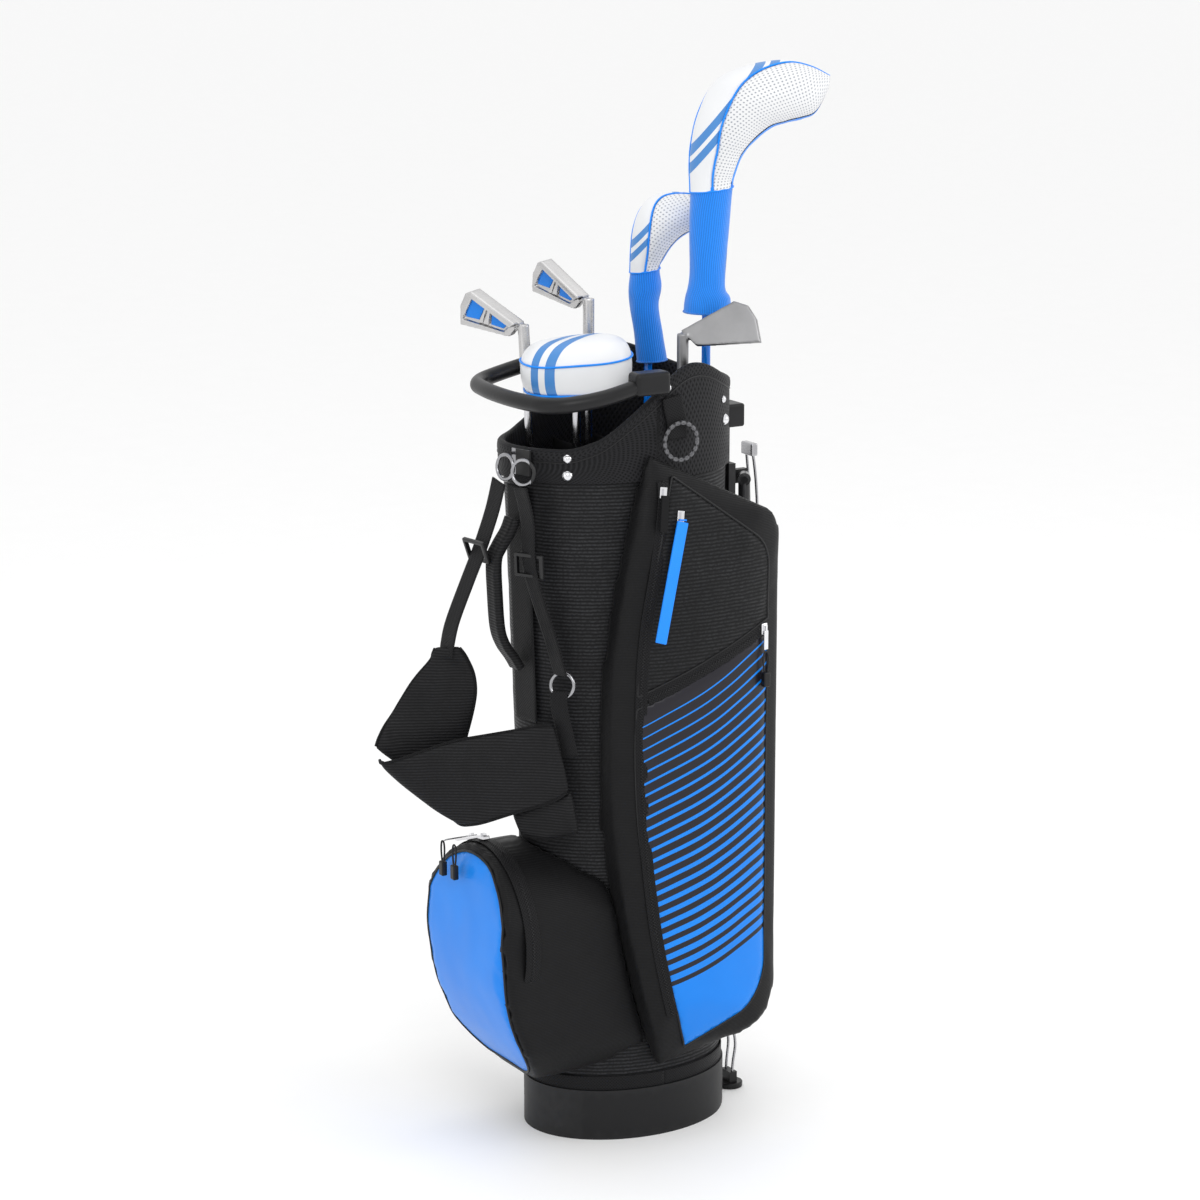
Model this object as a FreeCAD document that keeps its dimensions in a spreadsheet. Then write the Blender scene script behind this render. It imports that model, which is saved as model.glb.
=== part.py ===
import FreeCAD, Part
import Sketcher
import math
import os
from FreeCAD import Placement, Rotation, Vector

doc = FreeCAD.newDocument("GolfClubSet")
sheet = doc.addObject("Spreadsheet::Sheet", "sizes")

# Driving dimensions in millimetres and degrees. The bag stands on z = 0 with its base centred on the
# origin, its spine and straps towards -Y, its stand legs towards +Y and its large pocket towards +X.
driving = {
    # base cup
    "baseLength": 250, "baseWidth": 188, "baseHeight": 60, "baseWall": 3.5, "baseFloor": 5,
    "baseBevelRun": 34, "baseBevelRise": 16, "cupClearance": 0.5,
    # tube
    "tubeFoot": 8, "skirtTop": 62, "tubeTop": 780, "tubeTopLength": 272, "tubeTopWidth": 195,
    "tubeWall": 2.5, "tubeLean": -13, "fabricGap": 0.3, "stayRadius": 2.5, "stayGap": 0.4,
    # top cuff
    "cuffLength": 282, "cuffWidth": 203, "cuffWall": 10, "cuffCentre": -14,
    "rimFront": 819, "rimPeak": 909, "rimBack": 880, "rimFrontEdge": -112, "rimPeakPlace": 34,
    "dividerWall": 3, "dividerBottom": 770, "dividerDrop": 14, "dividerClearance": 0.3,
    "frontWallY": -46, "backWallY": 8, "frontSplitX": -13, "backSplitX": 2,
    # lift handle
    "handleRadius": 9, "handleReach": 158, "handleFrontHalf": 62, "handleSide": 108,
    "handleFrontZ": 873, "handleEndZ": 893, "handleEndY": -32, "handlePad": 26,
    # spine
    "spineWidth": 42, "spineThick": 5, "spineTop": 770, "spineBottom": 500, "spineX": 14,
    "gripTop": 712, "gripBottom": 588, "gripWidth": 24, "gripStand": 26, "gripThick": 11,
    # pockets
    "skin": 2.5, "panelInset": 9,
    "ballWidth": 196, "ballTop": 356, "ballShoulder": 285, "ballBottom": 80, "ballCorner": 64,
    "ballDepth": 209, "ballZipGap": 20, "ballZipWidth": 20, "zipProud": 1.6,
    "sidePocketDepth": 134, "sidePocketBow": 22, "sidePocketFront": -82, "sidePocketBack": 142,
    "sidePocketTop": 812, "sidePocketBackTop": 738, "sidePocketBottom": 88, "farPocketDepth": 118,
    "weltFrontZ": 531, "weltBackZ": 607, "weltWidth": 14, "sideZipWidth": 16,
    # zip sliders and pulls
    "sliderWidth": 9, "sliderHeight": 5, "sliderLength": 13, "tabWidth": 6.5, "tabThick": 1.6,
    "tabLength": 22, "pullCord": 2.2, "toggleWidth": 9, "toggleThick": 7, "toggleLength": 17,
    "bluePullLength": 138, "bluePullWidth": 14, "bluePullThick": 3, "webPullLength": 40,
    # straps
    "strapWidth": 26, "strapThick": 2.4, "padThick": 13, "ringWire": 2, "ringWidth": 32,
    # stand
    "hubWidth": 54, "hubDepth": 18, "hubTop": 842, "hubBottom": 815,
    "blockTop": 772, "blockBottom": 734, "blockWidth": 46, "blockDepth": 9,
    "pivotZ": 752, "pivotX": 18, "pivotY": 150, "pinRadius": 2.2, "pinGap": 0.08,
    "legRadius": 7, "legWall": 1.2, "legLength": 585, "legSplay": 30, "legRest": 2.4,
    "wireRadius": 1.7, "wireX": 7, "footRadius": 15, "footThick": 7,
    # clubs
    "clubFloor": 7, "gripLength": 268, "gripButt": 13.3, "gripTip": 8.6, "putterGripButt": 14,
    "shaftButt": 7.4, "shaftTip": 4.6, "hosel": 6.6, "putterCoverLong": 126, "putterCoverDeep": 98,
}
clubs = {
    # length, place at the rim, place at the floor, toe direction in plan, hosel start below the sole
    "driver": dict(Length=1154, RimX=42, RimY=82, FloorX=42, FloorY=82, Toe=60, Neck=70),
    "fairway": dict(Length=1052, RimX=-46, RimY=58, FloorX=-46, FloorY=58, Toe=60, Neck=60),
    "putter": dict(Length=911, RimX=10, RimY=-69, FloorX=10, FloorY=-62, Toe=68, Neck=42),
    "iron_long": dict(Length=968, RimX=-45, RimY=-22, FloorX=-45, FloorY=-26, Toe=197, Neck=64),
    "iron_mid": dict(Length=944, RimX=-52, RimY=-98, FloorX=-30, FloorY=-62, Toe=205, Neck=64),
    "wedge": dict(Length=938, RimX=65, RimY=37, FloorX=62, FloorY=37, Toe=60, Neck=64),
}
rimLevel = 860
for club, numbers in clubs.items():
    for word, number in numbers.items():
        driving[club.replace("_", "") + word] = number
for row, (word, number) in enumerate(driving.items(), 1):
    sheet.set(f"A{row}", word)
    sheet.set(f"B{row}", str(number))
    sheet.setAlias(f"B{row}", word)
doc.recompute()
nodes = []


def size(word):
    return float(sheet.get(word))


def rule(text):
    """A rule such as 'baseLength / 2' in the sheet's words, written as a document expression."""
    words = sorted(driving, key=len, reverse=True)
    out, position = "", 0
    while position < len(text):
        word = next((w for w in words if text.startswith(w, position)), None)
        if word and not (position and text[position - 1].isalpha()):
            out, position = out + "sizes." + word, position + len(word)
        else:
            out, position = out + text[position], position + 1
    return out


def bind(item, **rules):
    for name, text in rules.items():
        item.setExpression(name.replace("__", "."), rule(text))
    return item


def node(item, name):
    item.Label = name
    nodes.append(item)
    return item


def primitive(kind, name, place=None, **rules):
    item = doc.addObject("Part::" + kind, name)
    if place is not None:
        item.Placement = place
    return bind(item, **rules)


def combine(kind, name, *items):
    item = doc.addObject("Part::" + kind, name)
    if kind in ("Cut", "Common"):
        item.Base, item.Tool = items
    else:
        item.Shapes = list(items)
    return item


def feature(name, shape, place=None):
    item = doc.addObject("Part::Feature", name)
    item.Shape = shape
    if place is not None:
        item.Placement = place
    return item


def newBody(name):
    return doc.addObject("PartDesign::Body", name)


def newSketch(body, role, name):
    sketch = body.newObject("Sketcher::SketchObject", name)
    plane = next(f for f in body.Origin.OriginFeatures if f.Role == role)
    sketch.AttachmentSupport = [(plane, "")]
    sketch.MapMode = "FlatFace"
    return sketch


def number(item, text):
    return float(item.evalExpression(rule(text)))


def drawPolygon(sketch, corners):
    """Straight-sided outline whose every corner is tied to the sheet."""

    at = [Vector(number(sketch, a), number(sketch, b), 0) for a, b in corners]
    count = len(at)
    first = sketch.GeometryCount
    for i in range(count):
        sketch.addGeometry(Part.LineSegment(at[i], at[(i + 1) % count]))
    for i in range(count):
        sketch.addConstraint(
            Sketcher.Constraint("Coincident", first + i, 2, first + (i + 1) % count, 1)
        )
    for i, (a, b) in enumerate(corners):
        for kind, text, value in (("DistanceX", a, at[i].x), ("DistanceY", b, at[i].y)):
            done = sketch.addConstraint(Sketcher.Constraint(kind, -1, 1, first + i, 1, value))
            sketch.setExpression(f"Constraints[{done}]", rule(text))


def drawOval(sketch, across, along, centre):
    """Oval centred on the Y axis: half its width along X, half its length along Y."""

    middle = Vector(0, number(sketch, centre), 0)
    halfX, halfY = number(sketch, across), number(sketch, along)
    oval = Part.Ellipse(middle + Vector(0, halfY, 0), middle + Vector(halfX, 0, 0), middle)
    first = sketch.addGeometry(oval)
    sketch.exposeInternalGeometry(first)
    sketch.addConstraint(Sketcher.Constraint("PointOnObject", first, 3, -2))
    done = sketch.addConstraint(Sketcher.Constraint("DistanceY", -1, 1, first, 3, middle.y))
    sketch.setExpression(f"Constraints[{done}]", rule(centre))
    sketch.addConstraint(Sketcher.Constraint("Vertical", first + 1))
    for line, text, value in ((first + 1, along, halfY), (first + 2, across, halfX)):
        done = sketch.addConstraint(Sketcher.Constraint("Distance", line, 2 * value))
        sketch.setExpression(f"Constraints[{done}]", f"2 * ({rule(text)})")


def grow(body, kind, name, profile, **rules):
    item = body.newObject("PartDesign::" + kind, name)
    item.Profile = profile
    if kind in ("Pad", "Pocket"):
        item.Type = 0
    profile.Visibility = False
    bind(item, **rules)
    body.Tip = item
    return item


def ovalLoft(name, sections, inset):
    """Tube through level ovals given as (half length, half width, centre y, z) rules."""
    ovals = []
    for i, (along, across, centre, level) in enumerate(sections):
        oval = primitive(
            "Ellipse",
            f"{name}_oval{i}",
            Placement(Vector(0, 0, 0), Rotation(Vector(0, 0, 1), 90)),
            MajorRadius=f"{along} - {inset}",
            MinorRadius=f"{across} - {inset}",
            Placement__Base__y=centre,
            Placement__Base__z=level,
        )
        ovals.append(oval)
    loft = doc.addObject("Part::Loft", name)
    loft.Sections = ovals
    loft.Solid = True
    loft.Ruled = True
    return loft


def line(points):
    return Part.makePolygon([Vector(*p) for p in points])


def ribbon(stations):
    """Flat band through stations of (centre, half width vector, half thickness vector)."""
    loops = []
    for centre, wide, thick in stations:
        c, w, t = Vector(*centre), Vector(*wide), Vector(*thick)
        ring = [c - w - t, c + w - t, c + w + t, c - w + t]
        loops.append(Part.makePolygon(ring + ring[:1]))
    return Part.makeLoft(loops, True, True)


def band(points, across, width, thick):
    """Band of one width along points; across is its width direction at every point."""
    at = [Vector(*p) for p in points]
    wide = Vector(*across).normalize() * (width / 2)
    stations = []
    for i, p in enumerate(at):
        along = (at[min(i + 1, len(at) - 1)] - at[max(i - 1, 0)]).normalize()
        stations.append((p, wide, along.cross(wide).normalize() * (thick / 2)))
    return ribbon(stations)


def tube(points, radius, label):
    """Round tube along straight runs joined by tangent arcs."""
    at = [Vector(*p) for p in points]
    edges, start, radii = [], at[0], []
    for i in range(1, len(at) - 1):
        before, after = at[i] - at[i - 1], at[i + 1] - at[i]
        half = before.getAngle(after) / 2
        reach = 0.45 * min(before.Length, after.Length)
        radii.append(reach / math.tan(half))
        first = at[i] - Vector(before).normalize() * reach
        last = at[i] + Vector(after).normalize() * reach
        inward = (Vector(after).normalize() - Vector(before).normalize()).normalize()
        middle = at[i] + inward * (radii[-1] / math.cos(half) - radii[-1])
        edges.append(Part.LineSegment(start, first).toShape())
        edges.append(Part.Arc(first, middle, last).toShape())
        start = last
    edges.append(Part.LineSegment(start, at[-1]).toShape())
    path = Part.Wire(edges)
    ring = Part.Wire(Part.Circle(at[0], at[1] - at[0], radius).toShape())
    shape = path.makePipeShell([ring], True, False)
    expected = math.pi * radius**2 * path.Length
    print(f"{label}: length {path.Length:.1f}, tightest radius {min(radii, default=0):.1f},"
          f" volume over section times length {shape.Volume / expected:.4f}")
    return shape


def softBox(long, deep, tall, corner, edge):
    """Box with every edge rounded."""
    box = Part.makeBox(long, deep, tall, Vector(*corner))
    return box.makeFillet(edge, box.Edges)


def tubeSurfaceY(x, z, side, gap):
    """Y of the bag tube's surface at x and z, on the front (-1) or the back (+1), plus a gap."""
    share = min(max((z - size("skirtTop")) / (size("tubeTop") - size("skirtTop")), 0), 1)
    footLength = size("baseLength") / 2 - size("baseWall") - size("cupClearance")
    footWidth = size("baseWidth") / 2 - size("baseWall") - size("cupClearance")
    half = footLength + share * (size("tubeTopLength") / 2 - footLength) + gap
    wide = footWidth + share * (size("tubeTopWidth") / 2 - footWidth) + gap
    return share * size("tubeLean") + side * half * math.sqrt(max(1 - (x / wide) ** 2, 0))


# ---- base cup: oval boot with a bevelled back edge, on which the bag tips onto its legs
cup = newBody("cupBody")
cupOutline = newSketch(cup, "XY_Plane", "cupOutline")
drawOval(cupOutline, "baseWidth / 2", "baseLength / 2", "0")
grow(cup, "Pad", "cupPad", cupOutline, Length="baseHeight")
doc.recompute()
cupInside = newSketch(cup, "XY_Plane", "cupInside")
cupInside.AttachmentOffset = Placement(Vector(0, 0, size("baseFloor")), Rotation())
bind(cupInside, AttachmentOffset__Base__z="baseFloor")
drawOval(cupInside, "baseWidth / 2 - baseWall", "baseLength / 2 - baseWall", "0")
cupHollow = grow(cup, "Pocket", "cupHollow", cupInside, Length="baseHeight")
cupHollow.Reversed = True
bevelOutline = newSketch(cup, "YZ_Plane", "bevelOutline")
drawPolygon(
    bevelOutline,
    [
        ("baseLength / 2 - baseBevelRun", "0"),
        ("baseLength / 2 + baseWall", "0"),
        ("baseLength / 2 + baseWall", "baseBevelRise"),
        ("baseLength / 2 - 2", "baseBevelRise"),
        ("baseLength / 2 - baseBevelRun / 2", "baseFloor / 2"),
    ],
)
bevel = grow(cup, "Pocket", "bevel", bevelOutline, Length="baseWidth")
bevel.Midplane = True
doc.recompute()
node(cup, "base_cup")

# ---- bag tube: tapered fabric shell that stands in the cup and leans forward a little
foot = ("(baseLength / 2 - baseWall - cupClearance)", "(baseWidth / 2 - baseWall - cupClearance)")
tubeSections = [
    (foot[0], foot[1], "0", "tubeFoot"),
    (foot[0], foot[1], "0", "skirtTop"),
    ("tubeTopLength / 2", "tubeTopWidth / 2", "tubeLean", "tubeTop"),
]
tubeEnvelope = ovalLoft("tubeEnvelope", tubeSections, "0")
tubeCavity = ovalLoft("tubeCavity", tubeSections, "tubeWall")
tubeClear = ovalLoft("tubeClear", tubeSections, "(0 - fabricGap)")
node(combine("Cut", "tubeShell", tubeEnvelope, tubeCavity), "bag_tube")
doc.recompute()

# ---- three stiffening stays that run up the inside of the tube
stays = []
for angle in (35, 145, 215):
    ends = []
    for z in (size("tubeFoot") + 6, size("tubeTop") - 4):
        share = min(max((z - size("skirtTop")) / (size("tubeTop") - size("skirtTop")), 0), 1)
        inset = size("tubeWall") + size("stayRadius") + size("stayGap") + 1.2
        half = size("baseLength") / 2 - size("baseWall") - size("cupClearance") - inset
        wide = size("baseWidth") / 2 - size("baseWall") - size("cupClearance") - inset
        half += share * (size("tubeTopLength") / 2 - inset - half)
        wide += share * (size("tubeTopWidth") / 2 - inset - wide)
        turn = math.radians(angle)
        ends.append(
            Vector(wide * math.cos(turn), half * math.sin(turn) + share * size("tubeLean"), z)
        )
    run = ends[1] - ends[0]
    stays.append(Part.makeCylinder(size("stayRadius"), run.Length, ends[0], run))
node(feature("stays", Part.makeCompound(stays)), "stay_rods")

# ---- top cuff: padded collar, low in front and high at the sides
cuff = newBody("cuffBody")
cuffOutline = newSketch(cuff, "XY_Plane", "cuffOutline")
bind(cuffOutline, AttachmentOffset__Base__z="tubeTop")
drawOval(cuffOutline, "cuffWidth / 2", "cuffLength / 2", "cuffCentre")
grow(cuff, "Pad", "cuffPad", cuffOutline, Length="rimPeak - tubeTop + 10")
doc.recompute()
cuffMouth = newSketch(cuff, "XY_Plane", "cuffMouth")
bind(cuffMouth, AttachmentOffset__Base__z="tubeTop - 5")
drawOval(cuffMouth, "cuffWidth / 2 - cuffWall", "cuffLength / 2 - cuffWall", "cuffCentre")
mouth = grow(cuff, "Pocket", "mouth", cuffMouth, Length="rimPeak")
mouth.Reversed = True
rimLine = newSketch(cuff, "YZ_Plane", "rimLine")
drawPolygon(
    rimLine,
    [
        ("cuffCentre - cuffLength", "rimFront"),
        ("rimFrontEdge", "rimFront"),
        ("rimFrontEdge + 32", "rimFront + 12"),
        ("rimPeakPlace - 20", "rimPeak - 6"),
        ("rimPeakPlace", "rimPeak"),
        ("rimPeakPlace + 24", "rimPeak - 4"),
        ("cuffLength / 2 + cuffCentre - 18", "rimBack"),
        ("cuffLength", "rimBack - 2"),
        ("cuffLength", "rimPeak + 50"),
        ("cuffCentre - cuffLength", "rimPeak + 50"),
    ],
)
rimCut = grow(cuff, "Pocket", "rimCut", rimLine, Length="cuffWidth * 2")
rimCut.Midplane = True
doc.recompute()
node(cuff, "top_cuff")

# ---- club divider: cross walls that part the mouth into five cells, held by the cuff
dividerTop = "rimFront - dividerDrop"
wallSpan = "cuffLength * 2"
walls = []
for name, alongX, place, low, high in (
    ("frontWall", True, "frontWallY", None, None),
    ("backWall", True, "backWallY", None, None),
    ("frontSplit", False, "frontSplitX", "cuffCentre - cuffLength", "frontWallY"),
    ("backSplit", False, "backSplitX", "backWallY", "cuffLength"),
):
    wall = primitive("Box", name, Height=f"{dividerTop} - dividerBottom",
                     Placement__Base__z="dividerBottom")
    if alongX:
        bind(wall, Length=wallSpan, Width="dividerWall", Placement__Base__x="0 - cuffLength",
             Placement__Base__y=f"{place} - dividerWall / 2")
    else:
        bind(wall, Length="dividerWall", Width=f"{high} - ({low})",
             Placement__Base__x=f"{place} - dividerWall / 2", Placement__Base__y=low)
    walls.append(wall)
ring = ovalLoft(
    "dividerSpace",
    [
        ("(cuffLength / 2 - cuffWall)", "(cuffWidth / 2 - cuffWall)", "cuffCentre", "dividerBottom"),
        ("(cuffLength / 2 - cuffWall)", "(cuffWidth / 2 - cuffWall)", "cuffCentre", "rimFront"),
    ],
    "dividerClearance",
)
dividerWalls = combine("MultiFuse", "dividerWalls", *walls)
node(combine("Common", "divider", dividerWalls, ring), "club_divider")
doc.recompute()

# ---- lift handle: moulded bow that runs round the front of the mouth from sleeve to sleeve
side, reach = size("handleSide"), size("handleReach")
endY, endZ, frontZ = size("handleEndY"), size("handleEndZ"), size("handleFrontZ")
quarterZ = (endZ + 2 * frontZ) / 3
bow = [
    (-side, endY, endZ),
    (-side - 3, (endY - reach) / 2, quarterZ),
    (-side + 16, 12 - reach, frontZ),
    (-size("handleFrontHalf") / 2, -reach, frontZ),
    (size("handleFrontHalf") / 2, -reach - 1, frontZ),
    (side - 16, 12 - reach, frontZ),
    (side + 3, (endY - reach) / 2, quarterZ),
    (side, endY, endZ),
]
bowShape = tube(bow, size("handleRadius"), "lift handle")
for sign in (-1, 1):
    pad = softBox(size("handleRadius") * 2 + 6, 44, size("handlePad"),
                  (sign * side - size("handleRadius") - 3, endY - 22, endZ - 13), 5)
    bowShape = bowShape.fuse(pad)
node(feature("bow", bowShape.cut(cuff.Shape)), "lift_handle")

# ---- towel loop: oval webbing ring that hangs on the side of the cuff by a tab
loopX = size("cuffWidth") / 2 + 3
towelTab = Part.makeBox(4, 30, 52, Vector(size("cuffWidth") / 2 + 0.3, -8, 824))
outer = Part.makeCylinder(24, 3, Vector(loopX + 4.6, 8, 824), Vector(1, 0, 0))
inner = Part.makeCylinder(18, 3, Vector(loopX + 4.6, 8, 824), Vector(1, 0, 0))
node(feature("towel", Part.makeCompound([towelTab, outer.cut(inner)])), "towel_loop")

# ---- rivets and screws of the cuff, domed heads on the outside
rivets = []
cuffX, cuffY = size("cuffWidth") / 2, size("cuffLength") / 2
for turn, z, radius in ((-46, 809, 5), (-134, 809, 5), (4, 884, 5), (47, 858, 4), (50, 834, 6),
                        (-46, 790, 6), (176, 884, 5), (133, 858, 4)):
    a = math.radians(turn)
    at = Vector(cuffX * math.cos(a), cuffY * math.sin(a) + size("cuffCentre"), z)
    out = Vector(math.cos(a) / cuffX, math.sin(a) / cuffY, 0).normalize()
    head = Part.makeSphere(radius * 1.15, at - out * radius * 0.45)
    rivets.append(head.cut(cuff.Shape).cut(Part.makeBox(8, 60, 90, Vector(-4, cuffY - 60, 800))))
rivets = [r.Solids[0] if len(r.Solids) == 1 else max(r.Solids, key=lambda s: s.Volume)
          for r in rivets]
node(feature("rivets", Part.makeCompound([r.cut(towelTab) for r in rivets])), "cuff_rivets")

# ---- spine webbing and trunk handle on the front of the tube
spineX = size("spineX")
spine = ribbon([
    ((spineX, tubeSurfaceY(spineX, z, -1, 0), z),
     (size("spineWidth") / 2, size("spineWidth") * 0.1, 0), (0, size("spineThick") / 2, 0))
    for z in (size("spineBottom"), (size("spineBottom") + size("spineTop")) / 2, size("spineTop"))
])
spine = spine.cut(tubeClear.Shape)
spine = max(spine.Solids, key=lambda s: s.Volume)
top, bottom, stand = size("gripTop"), size("gripBottom"), size("gripStand")


def spineFace(z):
    return tubeSurfaceY(spineX, z, -1, 0) - size("spineThick") / 2 - 3


halfGrip = (size("gripWidth") / 2, 0, 0)
half = size("gripThick") / 2
gripBand = ribbon([
    ((spineX, spineFace(bottom - 24) - 3, bottom - 24), halfGrip, (0, 3, 0)),
    ((spineX, spineFace(bottom) - stand * 0.7, bottom + 6), halfGrip, (0, half * 0.8, half * 0.6)),
    ((spineX, spineFace(bottom) - stand, bottom + 30), halfGrip, (0, half, 0)),
    ((spineX, spineFace(top) - stand, top - 30), halfGrip, (0, half, 0)),
    ((spineX, spineFace(top) - stand * 0.7, top - 6), halfGrip, (0, half * 0.8, -half * 0.6)),
    ((spineX, spineFace(top + 24) - 3, top + 24), halfGrip, (0, 3, 0)),
])
node(feature("trunkGrip", Part.makeCompound([spine, gripBand])), "trunk_handle")

# ---- ball pocket: arched pouch on the front, with a smooth front panel and an arched zip
def archOutline(inset, level):
    """Pocket outline seen from the front, drawn in the plane y = level."""
    wide = size("ballWidth") / 2 - inset
    crown, shoulder = size("ballTop") - inset, size("ballShoulder")
    low, corner = size("ballBottom") + inset, size("ballCorner") - inset
    bend = corner * (1 - math.sqrt(0.5))
    at = lambda x, z: Vector(x, level, z)
    return Part.Wire([
        Part.Arc(at(-wide, shoulder), at(0, crown), at(wide, shoulder)).toShape(),
        Part.LineSegment(at(wide, shoulder), at(wide, low + corner)).toShape(),
        Part.Arc(at(wide, low + corner), at(wide - bend, low + bend), at(wide - corner, low)).toShape(),
        Part.LineSegment(at(wide - corner, low), at(corner - wide, low)).toShape(),
        Part.Arc(at(corner - wide, low), at(bend - wide, low + bend), at(-wide, low + corner)).toShape(),
        Part.LineSegment(at(-wide, low + corner), at(-wide, shoulder)).toShape(),
    ])


def archBlock(inset):
    return Part.Face(archOutline(inset, -300)).extrude(Vector(0, 300, 0))


def ballSide(shift):
    """Everything behind the pocket's bowed front face, moved back by shift."""
    deep = size("ballDepth")
    bottom = size("ballBottom")
    face = [(shift - deep + 12, size("ballTop") + 4), (shift - deep + 4, 306),
            (shift - deep, 210), (shift - deep + 24, 135), (shift - deep + 62, bottom - 4)]
    curve = Part.BSplineCurve()
    curve.interpolate([Vector(-150, y, z) for y, z in face])
    back = [Vector(-150, face[-1][0], face[-1][1]), Vector(-150, 0, face[-1][1]),
            Vector(-150, 0, face[0][1]), Vector(-150, face[0][0], face[0][1])]
    loop = Part.Wire([curve.toShape()] + [Part.LineSegment(a, b).toShape()
                                          for a, b in zip(back, back[1:])])
    return Part.Face(loop).extrude(Vector(300, 0, 0))


outerFace, innerFace = ballSide(0), ballSide(size("skin"))
lip = archBlock(0).common(outerFace).cut(innerFace).cut(archBlock(size("panelInset")))
pouch = archBlock(0).common(innerFace).fuse(lip).removeSplitter().cut(tubeClear.Shape)
panel = archBlock(size("panelInset") + 0.3).common(outerFace).cut(innerFace)
node(feature("pouchPanel", panel), "ball_pocket_panel")
zipFront = -size("ballDepth") + size("ballZipGap")
tape = Part.Face(archOutline(-size("zipProud"), zipFront)).cut(Part.Face(archOutline(0, zipFront)))
tape = tape.extrude(Vector(0, size("ballZipWidth"), 0))
tape = tape.common(Part.makeBox(300, 300, 300, Vector(-150, -300, 190)))

# ---- side pockets: bowed pouches on the left and right of the tube
def bowBlock(depth, sign):
    """Block behind an upright bowed outer face, closed in at its top and bottom."""
    front, back = size("sidePocketFront"), size("sidePocketBack")
    bow = size("sidePocketBow")
    a, b = Vector(0, front, 0), Vector(sign * (depth - bow), front, 0)
    c, d = Vector(sign * (depth - bow), back, 0), Vector(sign * 50, back - 36, 0)
    e = Vector(0, 60, 0)
    crown = Vector(sign * depth, (front + back) / 2, 0)
    plan = Part.Wire([
        Part.LineSegment(a, b).toShape(), Part.Arc(b, crown, c).toShape(),
        Part.LineSegment(c, d).toShape(), Part.LineSegment(d, e).toShape(),
        Part.LineSegment(e, a).toShape(),
    ])
    block = Part.Face(plan).extrude(Vector(0, 0, 900))
    low, high = size("sidePocketBottom"), size("sidePocketTop")
    wall = line([
        (0, -200, low - 2), (sign * 104, -200, low - 2), (sign * 120, -200, low + 32),
        (sign * (depth + 3), -200, low + 92), (sign * (depth + 3), -200, high - 160),
        (sign * (size("cuffWidth") / 2 + 9), -200, high + 4), (0, -200, high + 4),
        (0, -200, low - 2),
    ])
    return block.common(Part.Face(wall).extrude(Vector(0, 400, 0)))


def pocketOutline(inset, sign, lowEdge=None, highEdge=None):
    """Side pocket outline seen from the side, with its front edge bowed forward."""
    front, back = size("sidePocketFront") + inset, size("sidePocketBack") - inset
    top, backTop = size("sidePocketTop") - inset, size("sidePocketBackTop") - inset
    low = size("sidePocketBottom") + inset
    at = lambda y, z: Vector(0, y, z)
    wire = Part.Wire([
        Part.Arc(at(front + 68, low), at(front, (low + top) / 2 + 60), at(front + 50, top)).toShape(),
        Part.LineSegment(at(front + 50, top), at(back - 22, backTop)).toShape(),
        Part.Arc(at(back - 22, backTop), at(back - 6, backTop - 16), at(back, backTop - 46)).toShape(),
        Part.LineSegment(at(back, backTop - 46), at(back, low + 92)).toShape(),
        Part.Arc(at(back, low + 92), at(back - 14, low + 52), at(back - 52, low + 26)).toShape(),
        Part.LineSegment(at(back - 52, low + 26), at(front + 68, low)).toShape(),
    ])
    return Part.Face(wire).extrude(Vector(sign * 200, 0, 0))


def weltBand(offset, half, sign):
    """Slanting strip across the pocket between its upper and lower panels."""
    front, back = size("sidePocketFront") - 30, size("sidePocketBack") + 30
    slope = (size("weltBackZ") - size("weltFrontZ")) / 182
    z0, z1 = size("weltFrontZ") - 51 * slope, size("weltBackZ") + 49 * slope
    ring = line([(0, front, z0 + offset - half), (0, back, z1 + offset - half),
                 (0, back, z1 + offset + half), (0, front, z0 + offset + half),
                 (0, front, z0 + offset - half)])
    return Part.Face(ring).extrude(Vector(sign * 200, 0, 0))


cuffMiddle = Vector(0, size("cuffCentre"), size("tubeTop") - 1)
cuffSleeve = Part.Face(Part.Wire(Part.Ellipse(
    cuffMiddle + Vector(0, size("cuffLength") / 2 + 0.4, 0),
    cuffMiddle + Vector(size("cuffWidth") / 2 + 0.4, 0, 0), cuffMiddle
).toShape())).extrude(Vector(0, 0, 200))


def sidePouch(depth, sign):
    full = bowBlock(depth, sign)
    back = full.copy()
    back.translate(Vector(-sign * size("skin"), 0, 0))
    outline = pocketOutline(0, sign)
    pouch = back.common(outline).cut(tubeClear.Shape).cut(cuffSleeve)
    return full, back, max(pouch.Solids, key=lambda s: s.Volume)


full, back, apparel = sidePouch(size("sidePocketDepth"), 1)
skinShell = full.cut(back).common(pocketOutline(0, 1))
upper = weltBand(400, 400 - size("weltWidth") / 2, 1)
lower = weltBand(-400, 400 - size("weltWidth") / 2, 1)
inset = pocketOutline(size("panelInset") + size("sideZipWidth"), 1)
upperPanel = skinShell.common(upper).common(inset)
stripedPanel = skinShell.common(lower).common(inset)
node(feature("apparelPouch", apparel), "apparel_pocket")
node(feature("upperSkin", upperPanel), "upper_panel")
node(feature("stripedSkin", stripedPanel), "striped_panel")
sideTape = skinShell.common(pocketOutline(size("panelInset"), 1))
sideTape = sideTape.cut(pocketOutline(size("panelInset") + size("sideZipWidth") - 0.3, 1))
sideTape = sideTape.common(Part.makeBox(200, 110, 620, Vector(0, -90, 150)))
weltTape = skinShell.common(weltBand(0, size("weltWidth") / 2 - 0.3, 1)).common(inset)
tapes = [max(t.Solids, key=lambda s: s.Volume) for t in (tape, sideTape, weltTape)]
node(feature("tapes", Part.makeCompound(tapes)), "zip_tapes")
farFull, farBack, farPouch = sidePouch(size("farPocketDepth"), -1)
node(feature("farPouch", farPouch), "far_side_pocket")
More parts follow.
